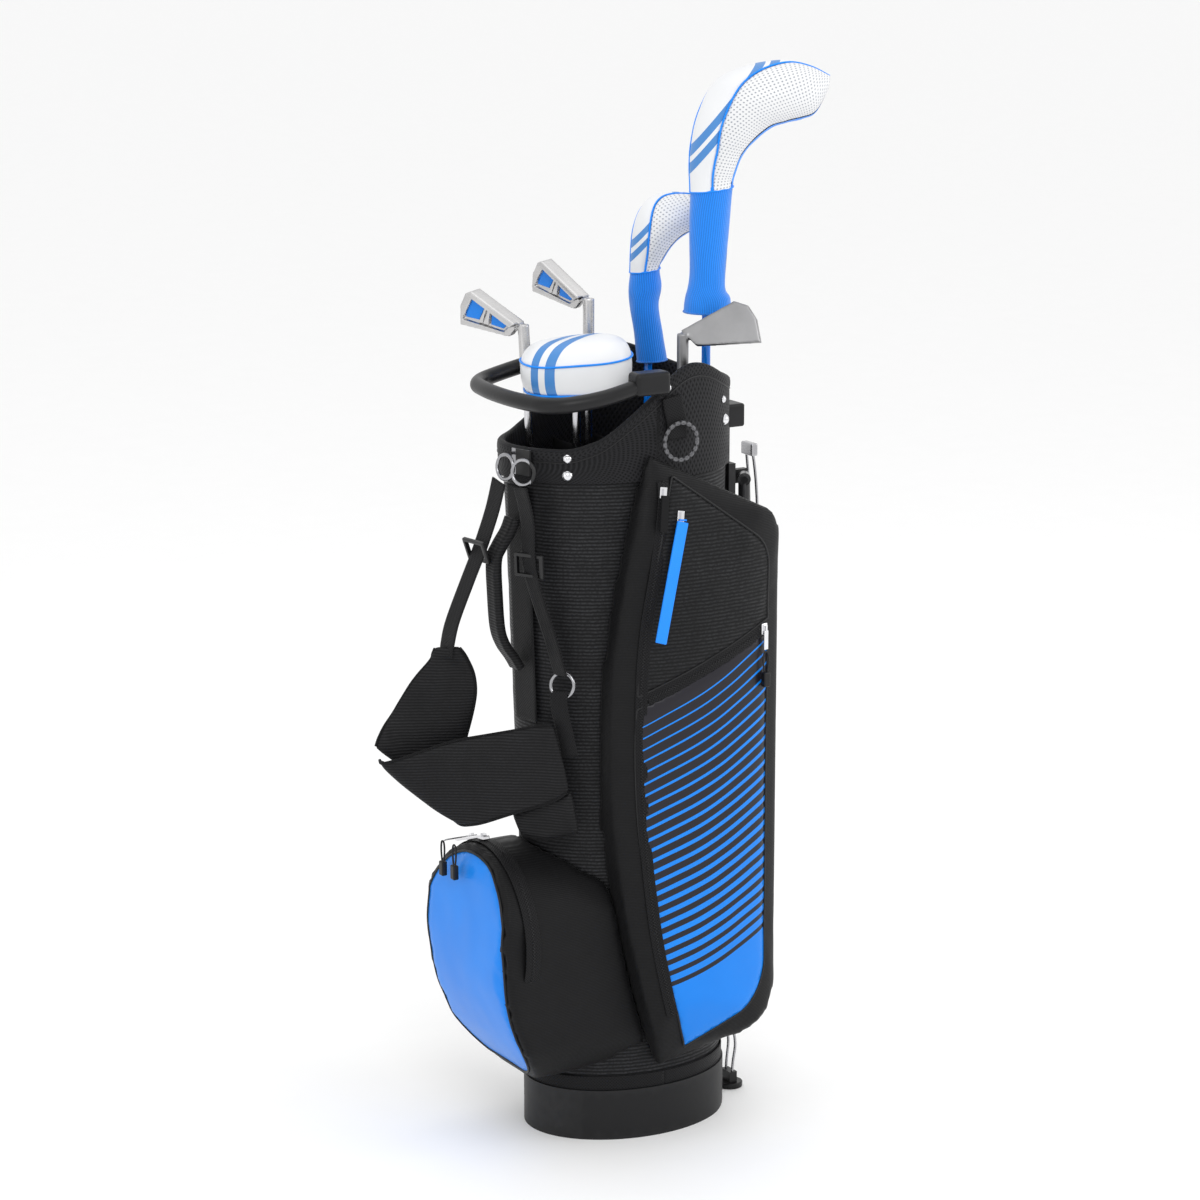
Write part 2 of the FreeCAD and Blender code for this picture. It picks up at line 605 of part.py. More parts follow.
for depth, sign in ((size("sidePocketDepth"), 1), (size("farPocketDepth"), -1)):
    beside = bowBlock(depth + 1, sign)
    beside.translate(Vector(0, -size("fabricGap"), 0))
    pouch = pouch.cut(beside.common(pocketOutline(-size("fabricGap"), sign)))
pouch = max(pouch.Solids, key=lambda s: s.Volume)
node(feature("pouch", pouch), "ball_pocket")

# ---- zip sliders: a slider on its track with a tab that hangs in front of it
def sliderShape(hangs):
    width, tall, long = size("sliderWidth"), size("sliderHeight"), size("sliderLength")
    slider = softBox(width, tall, long, (-width / 2, -tall, -long / 2), 1.2)
    bridge = Part.makeBox(3, 3, long * 0.7, Vector(-1.5, -tall - 2.6, -long * 0.35))
    tab = softBox(size("tabWidth"), size("tabThick"), size("tabLength"),
                  (-size("tabWidth") / 2, -tall - 2.6, -size("tabLength") - 2), 0.6)
    return slider.fuse([bridge, tab] if hangs else [bridge])


def track(x, y, z, normal, lean=0):
    """Placement with local -Y along the outward normal and local Z up the track."""
    out = Vector(*normal).normalize()
    turn = Rotation(Vector(0, -1, 0), out)
    return Placement(Vector(x, y, z), turn.multiply(Rotation(Vector(0, 1, 0), lean)))


def outerX(y, z):
    """X of the apparel pocket's outer face at a height where it stands straight."""
    front, back = size("sidePocketFront"), size("sidePocketBack")
    bow, half = size("sidePocketBow"), (back - front) / 2
    radius = (half**2 + bow**2) / (2 * bow)
    middle = (front + back) / 2
    x = size("sidePocketDepth") - radius + math.sqrt(radius**2 - (y - middle) ** 2)
    high = size("sidePocketTop")
    slope = (size("sidePocketDepth") + 3 - size("cuffWidth") / 2 - 9) / 164
    return min(x, size("sidePocketDepth") + 3 - max(z - (high - 160), 0) * slope)


arcHalf = size("ballWidth") / 2
rise = size("ballTop") - size("ballShoulder")
arcRadius = (arcHalf**2 + rise**2) / (2 * rise)
arcZ = size("ballTop") - arcRadius
zipY = zipFront + size("ballZipWidth") / 2
toggle = softBox(size("toggleWidth"), size("toggleThick"), size("toggleLength"),
                 (-size("toggleWidth") / 2, -size("toggleThick") / 2, -size("toggleLength")), 1.5)
cordLoop = [(-2.2, 0, 0.4), (-4.1, 0, 9), (-4.2, 0, 18), (-2.4, 0, 24), (2.4, 0, 24), (4.2, 0, 18),
            (4.1, 0, 9), (2.2, 0, 0.4)]
ballY = -size("ballDepth") - size("sliderHeight") - 1
for word, turn, drop in (("left", -23, 20), ("right", -7, 25)):
    a = math.radians(turn)
    radius = arcRadius + size("zipProud") + 0.3
    centre = Vector(radius * math.sin(a), zipY, arcZ + radius * math.cos(a))
    ride = softBox(size("sliderLength"), size("sliderWidth"), size("sliderHeight"),
                   (-size("sliderLength") / 2, -size("sliderWidth") / 2, 0), 1.2)
    bridge = Part.makeBox(7, 4, 3, Vector(-3.5, -2, size("sliderHeight") - 0.5))
    ride = ride.fuse(bridge)
    ride.Placement = Placement(centre, Rotation(Vector(0, 1, 0), turn))
    tabTop = Vector(centre.x, ballY, arcZ + radius * math.cos(a) + 4)
    arm = Part.makeBox(size("tabWidth"), zipY - ballY + 2, size("tabThick"),
                       Vector(centre.x - size("tabWidth") / 2, ballY, tabTop.z))
    arm.rotate(Vector(centre.x, zipY, tabTop.z), Vector(0, 1, 0), turn)
    end = Vector(centre.x - 0.6, ballY - size("pullCord"), arcZ + radius * math.cos(a) - drop)
    node(feature("ballSlider_" + word, ride.fuse(arm)), f"ball_zip_slider_{word}")
    cord = tube([Vector(*p) for p in cordLoop], size("pullCord") / 2, f"ball pull cord {word}")
    node(feature("ballCord_" + word, cord, Placement(end, Rotation())), f"ball_pull_cord_{word}")
    node(feature("ballToggle_" + word, toggle, Placement(end, Rotation())),
         f"ball_pull_toggle_{word}")

longPlace = track(outerX(-22, 770) + 0.9, -22, 770, (1, 0, 0.16), 0)
node(feature("longSlider", sliderShape(False), longPlace), "long_zip_slider")
webPull = Part.makeBox(9, 2, size("webPullLength"), Vector(-4.5, -10, -size("webPullLength") - 4))
eye = Part.makeCylinder(1.0, 9, Vector(-4.5, -9, -4), Vector(1, 0, 0))
webPull = webPull.fuse(eye)
node(feature("webPull", webPull, longPlace), "long_zip_puller")
bluePlace = track(outerX(-2, 742) + 0.9, -2, 742, (1, 0, 0.16), 0)
node(feature("blueSlider", sliderShape(False), bluePlace), "side_zip_slider")
bluePull = softBox(size("bluePullWidth"), size("bluePullThick"), size("bluePullLength"),
                   (-size("bluePullWidth") / 2, -11, -size("bluePullLength") - 6), 1.2)
bluePull.rotate(Vector(0, 0, -4), Vector(0, 1, 0), 8)
bluePull = bluePull.fuse(eye)
node(feature("bluePull", bluePull, bluePlace), "side_zip_pull")
weltY = size("sidePocketBack") - size("panelInset") - size("sideZipWidth") - 9
slope = (size("weltBackZ") - size("weltFrontZ")) / 182
weltZ = size("weltFrontZ") + (weltY + 59) * slope
weltPlace = track(outerX(weltY, weltZ) + 1.2, weltY, weltZ, (1, 0.27, 0), 0)
node(feature("weltSlider", sliderShape(True), weltPlace), "diagonal_zip_slider")
cordTop = weltPlace.multVec(Vector(0, -size("sliderHeight") - 2, -size("tabLength") - 28.5))
weltCord = tube([Vector(*p) for p in cordLoop], size("pullCord") / 2, "diagonal pull cord")
node(feature("weltCord", weltCord, Placement(cordTop, Rotation(Vector(0, 0, 1), 100))),
     "diagonal_pull_cord")
node(feature("weltToggle", toggle, Placement(cordTop, Rotation(Vector(0, 0, 1), 100))),
     "diagonal_pull_toggle")

# ---- carrying straps: two webbings that hang from rings on the spine, and their padded ends
ringZ = 806
ringTab = ribbon([
    ((30, size("cuffCentre") - size("cuffLength") / 2 * 0.955 - 2.2, z), (13, 4, 0), (0.4, -1.4, 0))
    for z in (788, 817)
])
ringTab = ringTab.cut(cuffSleeve).cut(tubeEnvelope.Shape)
rings = [max(ringTab.Solids, key=lambda s: s.Volume)]
for x, y, z, normal in ((18, -165, 796, (0.2, -1, 0.1)), (47, -158, 794, (0.6, -1, 0.1)),
                        (74, -124, 552, (0.6, -0.8, 0.2))):
    rings.append(Part.makeTorus(size("ringWidth") / 2 - 2, size("ringWire"), Vector(x, y, z),
                                Vector(*normal)))
leftRoute = [(14, -171, 780), (6, -176, 744), (-2, -191.5, 700), (-4, -203, 664), (-6, -220, 622),
             (-12, -224, 592)]
rightRoute = [(49, -163, 777), (54, -157, 740), (56, -156, 690), (62, -148, 650), (70, -136, 604),
              (74, -130, 574)]
leftStrap = band(leftRoute, (1, 0.15, 0), size("strapWidth"), size("strapThick"))
rightStrap = band(rightRoute, (1, 0.5, 0), size("strapWidth"), size("strapThick"))
for x, y, z, across, lean in ((-2, -191.5, 700, 9, 20), (56, -156, 690, 27, 4)):
    frame = softBox(38, 5, 27, (-19, -2.5, -13.5), 1.5)
    slot = Part.makeBox(size("strapWidth") + 4, 9, 20, Vector(-size("strapWidth") / 2 - 2, -4.5, -10))
    frame = frame.cut(slot)
    frame.Placement = Placement(Vector(x, y, z), Rotation(across, 0, lean))
    rings.append(frame)
node(feature("rings", Part.makeCompound(rings)), "strap_hardware")
strapRuns = []
for strap in (leftStrap, rightStrap):
    for metal in rings:
        strap = strap.cut(metal)
    strapRuns += [run for run in strap.Solids if run.Volume > 200]
node(feature("straps", Part.makeCompound(strapRuns)), "strap_webbing")
padHalf = size("padThick") / 2
backLeaf = ribbon([
    ((-14, -216, 582), (14, 26, 0), (padHalf * 0.85, -padHalf * 0.45, 0)),
    ((-22, -236, 520), (22, 42, 6), (padHalf * 0.85, -padHalf * 0.45, 0)),
    ((-26, -262, 440), (20, 40, -36), (padHalf * 0.85, -padHalf * 0.45, 0)),
])
frontLeaf = ribbon([
    ((-4, -268, 428), (14, 38, -34), (padHalf * 0.85, -padHalf * 0.4, 0)),
    ((16, -222, 440), (4, 8, -52), (padHalf * 0.85, -padHalf * 0.4, 0)),
    ((46, -180, 452), (6, 4, -48), (padHalf * 0.85, -padHalf * 0.5, 0)),
    ((86, -128, 474), (4, 6, -38), (padHalf * 0.8, -padHalf * 0.6, 0)),
])
lowerLeaf = ribbon([
    ((40, -160, 386), (2, 4, -14), (padHalf * 0.8, -padHalf * 0.6, 0)),
    ((62, -146, 390), (2, 4, -18), (padHalf * 0.8, -padHalf * 0.6, 0)),
    ((92, -118, 408), (2, 4, -24), (padHalf * 0.8, -padHalf * 0.6, 0)),
])
pads = [backLeaf, frontLeaf, lowerLeaf]
node(feature("pads", Part.makeCompound(pads)), "shoulder_pads")

# ---- stand: hub on the back of the cuff, hinge block, two legs, actuator wires and foot
hubBack = size("cuffCentre") + size("cuffLength") / 2
hub = softBox(size("hubWidth"), size("hubDepth") + 30, size("hubTop") - size("hubBottom"),
              (-size("hubWidth") / 2, hubBack - 30, size("hubBottom")), 3)
hub = hub.cut(cuffSleeve)
channelY = hubBack + 1
channel = Part.makeBox(16, 8, size("hubBottom") - size("blockTop"),
                       Vector(-8, channelY, size("blockTop")))
block = Part.makeBox(size("blockWidth"), size("blockDepth"), size("blockTop") - size("blockBottom"),
                     Vector(-size("blockWidth") / 2, hubBack - 1, size("blockBottom")))
block = block.cut(tubeEnvelope.Shape).cut(cuffSleeve)
hubShape = hub.fuse([channel, block])
pinY, pinZ, splay = size("pivotY"), size("pivotZ"), math.radians(size("legSplay"))
spreadY = pinY + size("pivotX") * math.tan(splay)
post = Part.makeBox(9, spreadY + 3 - hubBack - size("blockDepth") + 2, 16,
                    Vector(-4.5, hubBack + size("blockDepth") - 2, pinZ - 8))
hubShape = hubShape.fuse(post)
for word, sign in (("left", -1), ("right", 1)):
    pin = Vector(sign * size("pivotX"), pinY, pinZ)
    axis = Vector(sign * math.cos(splay), -math.sin(splay), 0)
    reach = size("pivotX") / math.cos(splay)
    rod = Part.makeCylinder(size("pinRadius"), reach + 11, pin - axis * reach, axis)
    stopper = Part.makeCylinder(size("pinRadius") + 2, 2, pin + axis * 9, axis)
    hubShape = hubShape.fuse([rod, stopper])
    length, radius = size("legLength"), size("legRadius")
    rest = math.radians(size("legRest"))
    down = Vector(sign * math.sin(rest), -math.sin(rest) * 0.3, -math.cos(rest)).normalize()
    knuckle = Part.makeCylinder(radius + 0.5, 14, pin - axis * 7, axis)
    bore = Part.makeCylinder(size("pinRadius") + size("pinGap"), 20, pin - axis * 10, axis)
    leg = Part.makeCylinder(radius, length, pin, down)
    hollow = Part.makeCylinder(radius - size("legWall"), length - 30, pin + down * 30, down)
    node(feature("leg_" + word, leg.cut(hollow).fuse(knuckle).cut(bore)), f"leg_{word}")
    end = pin + down * (length + 0.2)
    shoe = Part.makeCone(radius + 1, radius + 4, 20, end, down)
    node(feature("legFoot_" + word, shoe), f"leg_foot_{word}")
node(feature("hub", max(hubShape.Solids, key=lambda s: s.Volume)), "leg_hub")

wireShapes = []
wireX = size("wireX")
for sign in (-1, 1):
    route = [
        (sign * wireX, 168, 782), (sign * (wireX + 1), 172, 752), (sign * (wireX + 2), 175, 705),
        (sign * (wireX + 1), 164, 590), (sign * wireX, 150, 430), (sign * wireX, 145, 300),
        (sign * wireX, 145, 90), (sign * (wireX + 1), 152, 56),
        (sign * wireX, 148, 32), (sign * wireX, 147, size("footThick")),
    ]
    wireShapes.append(tube(route, size("wireRadius"), "actuator wire"))
yoke = softBox(2 * wireX + 10, 9, 15, (-wireX - 5, 163.5, 775), 2)
wires = yoke.fuse(wireShapes)
node(feature("wires", wires), "actuator_wires")
disc = Part.makeCylinder(size("footRadius"), size("footThick"), Vector(0, 149, 0))
disc = disc.makeFillet(1.5, disc.Edges)
blockFoot = Part.makeBox(20, 10, 14, Vector(-10, 142.5, size("footThick") - 0.1))
for shape in wireShapes:
    blockFoot = blockFoot.cut(shape)
node(feature("actuatorFoot", disc.fuse(blockFoot)), "actuator_foot")

# ---- clubs: grip down in the bag, heads up
def clubPlace(club):
    word = club.replace("_", "")
    low = Vector(size(word + "FloorX"), size(word + "FloorY"), size("clubFloor"))
    high = Vector(size(word + "RimX"), size(word + "RimY"), rimLevel)
    lean = Rotation(Vector(0, 0, 1), high - low)
    return Placement(low, lean.multiply(Rotation(Vector(0, 0, 1), size(word + "Toe"))))


def soleFrame(club, lie):
    """Point and directions of the sole: along to the toe, and up from the topline to the sole."""
    turn = math.radians(90 - lie)
    sole = Vector(0, 0, size(club.replace("_", "") + "Length"))
    return sole, Vector(math.cos(turn), 0, math.sin(turn)), Vector(-math.sin(turn), 0, math.cos(turn))


def ironHead(club, lie, loft, toeHigh, long):
    sole, along, up = soleFrame(club, lie)
    at = lambda s, t: sole + along * s + up * t
    points = [(-4, -3), (long - 12, 0), (long, -12), (long + 2, -30), (long - 5, -toeHigh),
              (12, -30), (4, -26)]
    ring = [at(a, b) for a, b in points]
    blade = Part.Face(Part.makePolygon(ring + ring[:1])).extrude(Vector(0, 5, 0))
    pocketRing = [at(a, b) for a, b in ((6, -8), (long - 12, -6), (long - 6, -toeHigh + 8), (14, -26))]
    rim = Part.Face(Part.makePolygon(ring + ring[:1])).extrude(Vector(0, 9, 0))
    rim = rim.cut(Part.Face(Part.makePolygon(pocketRing + pocketRing[:1])).extrude(Vector(0, 20, 0)))
    soleRing = [at(a, b) for a, b in ((-2, -3), (long - 12, 0), (long - 6, -7), (2, -11))]
    flange = Part.Face(Part.makePolygon(soleRing + soleRing[:1])).extrude(Vector(0, 18, 0))
    head = blade.fuse([rim, flange])
    head.rotate(sole, along, -loft)
    neck = Part.makeCylinder(size("hosel"), size(club.replace("_", "") + "Neck") - 8,
                             sole - Vector(0, 0, size(club.replace("_", "") + "Neck")))
    return head.fuse(neck)


def sectionLoft(sections, share, first=0, last=None):
    """Loft of ovals, each given by its upper and lower points (x, z) and its half depth along y."""
    loops = []
    for highX, highZ, lowX, lowZ, deep in sections[first:last]:
        middle = Vector((highX + lowX) / 2, 0, (highZ + lowZ) / 2)
        tall = Vector(highX - lowX, 0, highZ - lowZ) * (share / 2)
        flat = Vector(0, deep * share, 0)
        ring = [middle + tall * math.cos(a) + flat * math.sin(a)
                for a in (2 * math.pi * i / 16 for i in range(16))]
        loops.append(Part.makePolygon(ring + ring[:1]))
    return Part.makeLoft(loops, True, True)


# sections of the covers from the cuff of the knitted neck to the tip, in millimetres from the grip end
coverSections = {
    "driver": [
        (-26, 948, 28, 948, 24), (-24, 965, 27, 964, 23), (-19, 990, 21, 979, 19), (-20, 1041, 24, 1030, 21),
        (-19, 1084, 29, 1090, 24), (-20, 1114, 32, 1105, 29), (-18, 1140, 40, 1125, 37),
        (-10, 1173, 54, 1142, 45), (9, 1207, 72, 1156, 49), (41, 1223, 90, 1162, 49),
        (84, 1230, 107, 1166, 44), (114, 1224, 121, 1173, 34), (136, 1213, 133, 1196, 15),
    ],
    "fairway": [
        (-13, 880, 22, 882, 15), (-16, 909, 17, 912, 16), (-21, 944, 12, 946, 18), (-23, 964, 15, 967, 19),
        (-21, 984, 13, 989, 20), (-20, 1010, 18, 1000, 25), (-17, 1035, 28, 1015, 33),
        (-8, 1058, 41, 1027, 38), (8, 1072, 54, 1033, 38), (30, 1075, 68, 1035, 33),
        (59, 1072, 77, 1040, 24), (73, 1066, 80, 1050, 11),
    ],
}
heads, covers = {}, {}
heads["iron_long"] = ironHead("iron_long", 61, 8, 50, 78)
heads["iron_mid"] = ironHead("iron_mid", 62, 8, 52, 78)
heads["wedge"] = ironHead("wedge", 63, 24, 56, 76)
for club, neck in (("driver", 4), ("fairway", 4)):
    top = size(club + "Length") - size(club + "Neck") - 20
    sections = coverSections[club]
    cover = sectionLoft(sections, 1.0)
    cover = cover.cut(sectionLoft(sections, 0.86, neck + 1, -1))
    low = sections[0][1] - 1
    bore = Part.makeCylinder(size("hosel") + 1.5, sections[neck + 2][1] - low, Vector(0, 0, low))
    cover = cover.cut(bore)
    stem = Part.makeCylinder(size("hosel"), sections[neck + 2][1] - top, Vector(0, 0, top))
    heads[club] = sectionLoft(sections, 0.8, neck + 2, -2).fuse(stem)
    covers[club] = max(cover.Solids, key=lambda s: s.Volume)


def roundedOval(halfLong, halfDeep, levels, slant):
    """Level ovals stacked to a rounded body whose upper side rises by slant towards the toe."""
    loops = []
    for z, share in levels:
        ring = [Vector(halfLong * share * math.cos(a), halfDeep * share * math.sin(a),
                       z + slant * halfLong * share * math.cos(a))
                for a in (2 * math.pi * i / 16 for i in range(16))]
        curve = Part.BSplineCurve()
        curve.interpolate(ring, PeriodicFlag=True)
        loops.append(Part.Wire(curve.toShape()))
    return Part.makeLoft(loops, True, False)


sole = size("putterLength")
coverHalf, coverDeep = size("putterCoverLong") / 2, size("putterCoverDeep") / 2
outside = roundedOval(coverHalf, coverDeep, [
    (sole - 41, 0.80), (sole - 35, 0.92), (sole - 22, 1.0), (sole - 6, 1.0), (sole + 6, 0.93),
    (sole + 13, 0.78), (sole + 16, 0.5)], 0.08)
inside = roundedOval(coverHalf, coverDeep, [
    (sole - 34, 0.84), (sole - 22, 0.92), (sole - 6, 0.92), (sole + 6, 0.82)], 0.08)
chimney = Part.makeCylinder(size("hosel") + 6, 60, Vector(0, 0, sole - 80))
covers["putter"] = outside.cut(inside).cut(chimney)
mallet = roundedOval(coverHalf, coverDeep, [
    (sole - 30, 0.80), (sole - 22, 0.86), (sole - 10, 0.86), (sole - 2, 0.78)], 0.08)
putterNeck = Part.makeCylinder(size("hosel") - 1, size("putterNeck") - 12,
                               Vector(0, 0, sole - size("putterNeck") - 4))
heads["putter"] = mallet.fuse(putterNeck)

for club in clubs:
    word = club.replace("_", "")
    place = clubPlace(club)
    butt = "putterGripButt" if club == "putter" else "gripButt"
    shaftEnd = f"{word}Length - {word}Neck"
    shaft = primitive("Cone", word + "Shaft", place, Height=shaftEnd, Radius1="shaftButt",
                      Radius2="shaftTip")
    if club in ("driver", "fairway", "putter"):
        bind(shaft, Height=f"{word}Length - {word}Neck - {20 if club != 'putter' else 4}")
    outer = primitive("Cone", word + "Sleeve", place, Height="gripLength", Radius1=butt,
                      Radius2="gripTip")
    grip = combine("Cut", word + "Grip", outer, shaft)
    node(grip, f"{club}_grip")
    node(shaft, f"{club}_shaft")
    node(feature(word + "Head", heads[club], place), f"{club}_head")
    if club in covers:
        node(feature(word + "Cover", covers[club], place), f"{club}_cover")
doc.recompute()

# ---- check every object, then write one file for each node
for item in doc.Objects:
    if "Invalid" in item.State or "Error" in item.State:
        raise RuntimeError(f"{item.Label} failed: {item.State}")
os.makedirs("parts", exist_ok=True)
for item in nodes:
    shape = item.Shape
    if shape.isNull() or not shape.isValid() or not shape.Solids:
        raise RuntimeError(f"{item.Label} has no valid solid")
    shape.exportStep(f"parts/{item.Label}.step")
    box = shape.BoundBox
    print(f"{item.Label}: {len(shape.Solids)} solid(s), {shape.Volume / 1000:.1f} cm3, "
          f"x {box.XMin:.0f}..{box.XMax:.0f} y {box.YMin:.0f}..{box.YMax:.0f} "
          f"z {box.ZMin:.0f}..{box.ZMax:.0f}")
print(f"{len(nodes)} nodes")
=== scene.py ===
# Golf bag with its clubs: fabrics, covers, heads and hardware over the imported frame
import bpy
import math
from mathutils import Matrix, Vector, geometry, noise
from mathutils.bvhtree import BVHTree


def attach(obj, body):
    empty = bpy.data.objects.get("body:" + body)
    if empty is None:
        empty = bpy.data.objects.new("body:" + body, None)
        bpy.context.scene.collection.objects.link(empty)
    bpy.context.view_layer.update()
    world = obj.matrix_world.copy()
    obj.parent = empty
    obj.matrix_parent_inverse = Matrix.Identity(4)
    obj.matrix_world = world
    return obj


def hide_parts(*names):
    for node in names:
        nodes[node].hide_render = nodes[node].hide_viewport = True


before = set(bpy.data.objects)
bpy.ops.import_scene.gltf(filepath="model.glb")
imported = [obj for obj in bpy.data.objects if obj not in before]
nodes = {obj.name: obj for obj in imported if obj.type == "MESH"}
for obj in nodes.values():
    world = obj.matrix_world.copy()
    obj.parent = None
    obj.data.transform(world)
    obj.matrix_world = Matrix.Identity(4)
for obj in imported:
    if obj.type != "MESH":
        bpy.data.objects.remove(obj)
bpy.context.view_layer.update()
mm = 0.001

# camera, lights and floor
view = {"place": (3.530, -2.0708, 1.581), "look": (-0.8431, 0.4868, -0.2284), "lens": 109.5}
cameraData = bpy.data.cameras.new("camera")
cameraData.lens = view["lens"]
cameraData.sensor_width = 36
camera = bpy.data.objects.new("camera", cameraData)
camera.location = view["place"]
camera.rotation_euler = Vector(view["look"]).to_track_quat("-Z", "Y").to_euler()
bpy.context.collection.objects.link(camera)
bpy.context.scene.camera = camera


def areaLight(name, place, target, size, power, colour=(1, 1, 1)):
    data = bpy.data.lights.new(name, "AREA")
    data.shape = "DISK"
    data.size = size
    data.energy = power
    data.color = colour
    light = bpy.data.objects.new(name, data)
    light.location = place
    light.rotation_euler = (Vector(target) - Vector(place)).to_track_quat("-Z", "Y").to_euler()
    bpy.context.collection.objects.link(light)


studio = {"key": 24, "fill": 5, "rim": 16, "top": 10, "world": 1.0}
areaLight("keyLight", (2.6, -1.3, 2.7), (0, 0, 0.6), 1.6, studio["key"])
areaLight("fillLight", (0.6, -3.2, 1.2), (0, 0, 0.5), 2.2, studio["fill"])
areaLight("rimLight", (1.6, 2.4, 1.6), (0, 0, 0.6), 1.2, studio["rim"])
areaLight("topLight", (-0.4, 0.2, 3.4), (0, 0, 0.6), 2.4, studio["top"])
world = bpy.data.worlds.new("paleStudio")
world.use_nodes = True
world.node_tree.nodes["Background"].inputs["Color"].default_value = (1, 1, 1, 1)
world.node_tree.nodes["Background"].inputs["Strength"].default_value = studio["world"]
bpy.context.scene.world = world
bpy.context.scene.view_settings.view_transform = "Standard"
print("camera and lights set")


# node groups shared by the materials
def newGroup(name, inputs, outputs):
    group = bpy.data.node_groups.new(name, "ShaderNodeTree")
    for label, value in inputs:
        socket = group.interface.new_socket(name=label, in_out="INPUT", socket_type="NodeSocketFloat")
        socket.default_value = value
    for label, kind in outputs:
        group.interface.new_socket(name=label, in_out="OUTPUT", socket_type=kind)
    return group, group.nodes.new("NodeGroupInput"), group.nodes.new("NodeGroupOutput")


def addMath(tree, operation, first, second=None, clamp=False):
    node = tree.nodes.new("ShaderNodeMath")
    node.operation = operation
    node.use_clamp = clamp
    for i, value in enumerate((first, second)):
        if value is None:
            continue
        if isinstance(value, (int, float)):
            node.inputs[i].default_value = value
        else:
            tree.links.new(value, node.inputs[i])
    return node.outputs[0]


def addNoise(tree, vector, scale, detail=3.0, rough=0.55):
    node = tree.nodes.new("ShaderNodeTexNoise")
    node.inputs["Detail"].default_value = detail
    node.inputs["Roughness"].default_value = rough
    if isinstance(scale, (int, float)):
        node.inputs["Scale"].default_value = scale
    else:
        tree.links.new(scale, node.inputs["Scale"])
    tree.links.new(vector, node.inputs["Vector"])
    return node.outputs["Fac"]


def objectPlace(tree):
    return tree.nodes.new("ShaderNodeTexCoord").outputs["Object"]


def separate(tree, vector):
    node = tree.nodes.new("ShaderNodeSeparateXYZ")
    tree.links.new(vector, node.inputs[0])
    return node.outputs


def makeRipstop():
    # fine level cross ribs with a broken thread pattern, as on coated bag cloth
    group, inward, outward = newGroup(
        "ribbedCloth", [("Pitch", 0.0026), ("Broken", 0.5)],
        [("Height", "NodeSocketFloat"), ("Shade", "NodeSocketFloat")])
    place = objectPlace(group)
    axes = separate(group, place)
    wobble = addNoise(group, place, 45.0, 2.0)
    level = addMath(group, "ADD", axes[2], addMath(group, "MULTIPLY", wobble, 0.0018))
    turns = addMath(group, "DIVIDE", level, inward.outputs["Pitch"])
    wave = addMath(group, "SINE", addMath(group, "MULTIPLY", turns, 2 * math.pi))
    rib = addMath(group, "ADD", addMath(group, "MULTIPLY", wave, 0.5), 0.5)
    along = addMath(group, "ADD", axes[0], axes[1])
    stretch = group.nodes.new("ShaderNodeCombineXYZ")
    group.links.new(addMath(group, "MULTIPLY", along, 260.0), stretch.inputs[0])
    group.links.new(addMath(group, "MULTIPLY", level, 380.0), stretch.inputs[1])
    fleck = addNoise(group, stretch.outputs[0], 1.0, 1.0)
    cut = addMath(group, "MULTIPLY", addMath(group, "SUBTRACT", fleck, 0.42, True), 5.0, True)
    broken = addMath(group, "MULTIPLY", cut, inward.outputs["Broken"])
    height = addMath(group, "MULTIPLY", rib, addMath(group, "SUBTRACT", 1.0, broken))
    group.links.new(height, outward.inputs["Height"])
    group.links.new(addMath(group, "MULTIPLY", height, addMath(group, "ADD", wobble, 0.3)),
                    outward.inputs["Shade"])
    return group


def makeWeave():
    # over and under threads of webbing: u runs along the strap, v across it, both in metres
    group, inward, outward = newGroup(
        "webbingWeave", [("Thread", 0.0016)], [("Height", "NodeSocketFloat"), ("Gap", "NodeSocketFloat")])
    uv = group.nodes.new("ShaderNodeTexCoord").outputs["UV"]
    axes = separate(group, uv)
    u = addMath(group, "MULTIPLY", addMath(group, "DIVIDE", axes[0], inward.outputs["Thread"]), math.pi)
    v = addMath(group, "MULTIPLY", addMath(group, "DIVIDE", axes[1], inward.outputs["Thread"]), math.pi)
    diagonal = addMath(group, "SINE", addMath(group, "ADD", u, v))
    counter = addMath(group, "SINE", addMath(group, "SUBTRACT", u, v))
    height = addMath(group, "ADD", addMath(group, "MULTIPLY", addMath(
        group, "MAXIMUM", diagonal, counter), 0.5), 0.5, True)
    group.links.new(height, outward.inputs["Height"])
    group.links.new(addMath(group, "SUBTRACT", 1.0, height), outward.inputs["Gap"])
    return group


def makeGrain():
    # moulded or leather grain with soft large patches
    group, inward, outward = newGroup(
        "surfaceGrain", [("Scale", 900.0), ("Patch", 12.0)],
        [("Height", "NodeSocketFloat"), ("Patches", "NodeSocketFloat")])
    place = objectPlace(group)
    cells = group.nodes.new("ShaderNodeTexVoronoi")
    cells.feature = "SMOOTH_F1"
    group.links.new(place, cells.inputs["Vector"])
    group.links.new(inward.outputs["Scale"], cells.inputs["Scale"])
    fine = addNoise(group, place, inward.outputs["Scale"], 2.0)
    group.links.new(addMath(group, "ADD", addMath(group, "MULTIPLY", cells.outputs["Distance"], 0.7),
                            addMath(group, "MULTIPLY", fine, 0.3)), outward.inputs["Height"])
    group.links.new(addNoise(group, place, inward.outputs["Patch"], 3.0), outward.inputs["Patches"])
    return group


def makeWear():
    # worn light edges from the pointed parts of the mesh, broken up by noise
    group, inward, outward = newGroup(
        "edgeWear", [("Amount", 0.5)], [("Mask", "NodeSocketFloat")])
    point = group.nodes.new("ShaderNodeNewGeometry").outputs["Pointiness"]
    rough = addNoise(group, objectPlace(group), 90.0, 4.0)
    edge = addMath(group, "MULTIPLY", addMath(group, "SUBTRACT", point, 0.52, True), 9.0, True)
    group.links.new(addMath(group, "MULTIPLY", addMath(group, "MULTIPLY", edge, rough),
                            inward.outputs["Amount"], True), outward.inputs["Mask"])
    return group


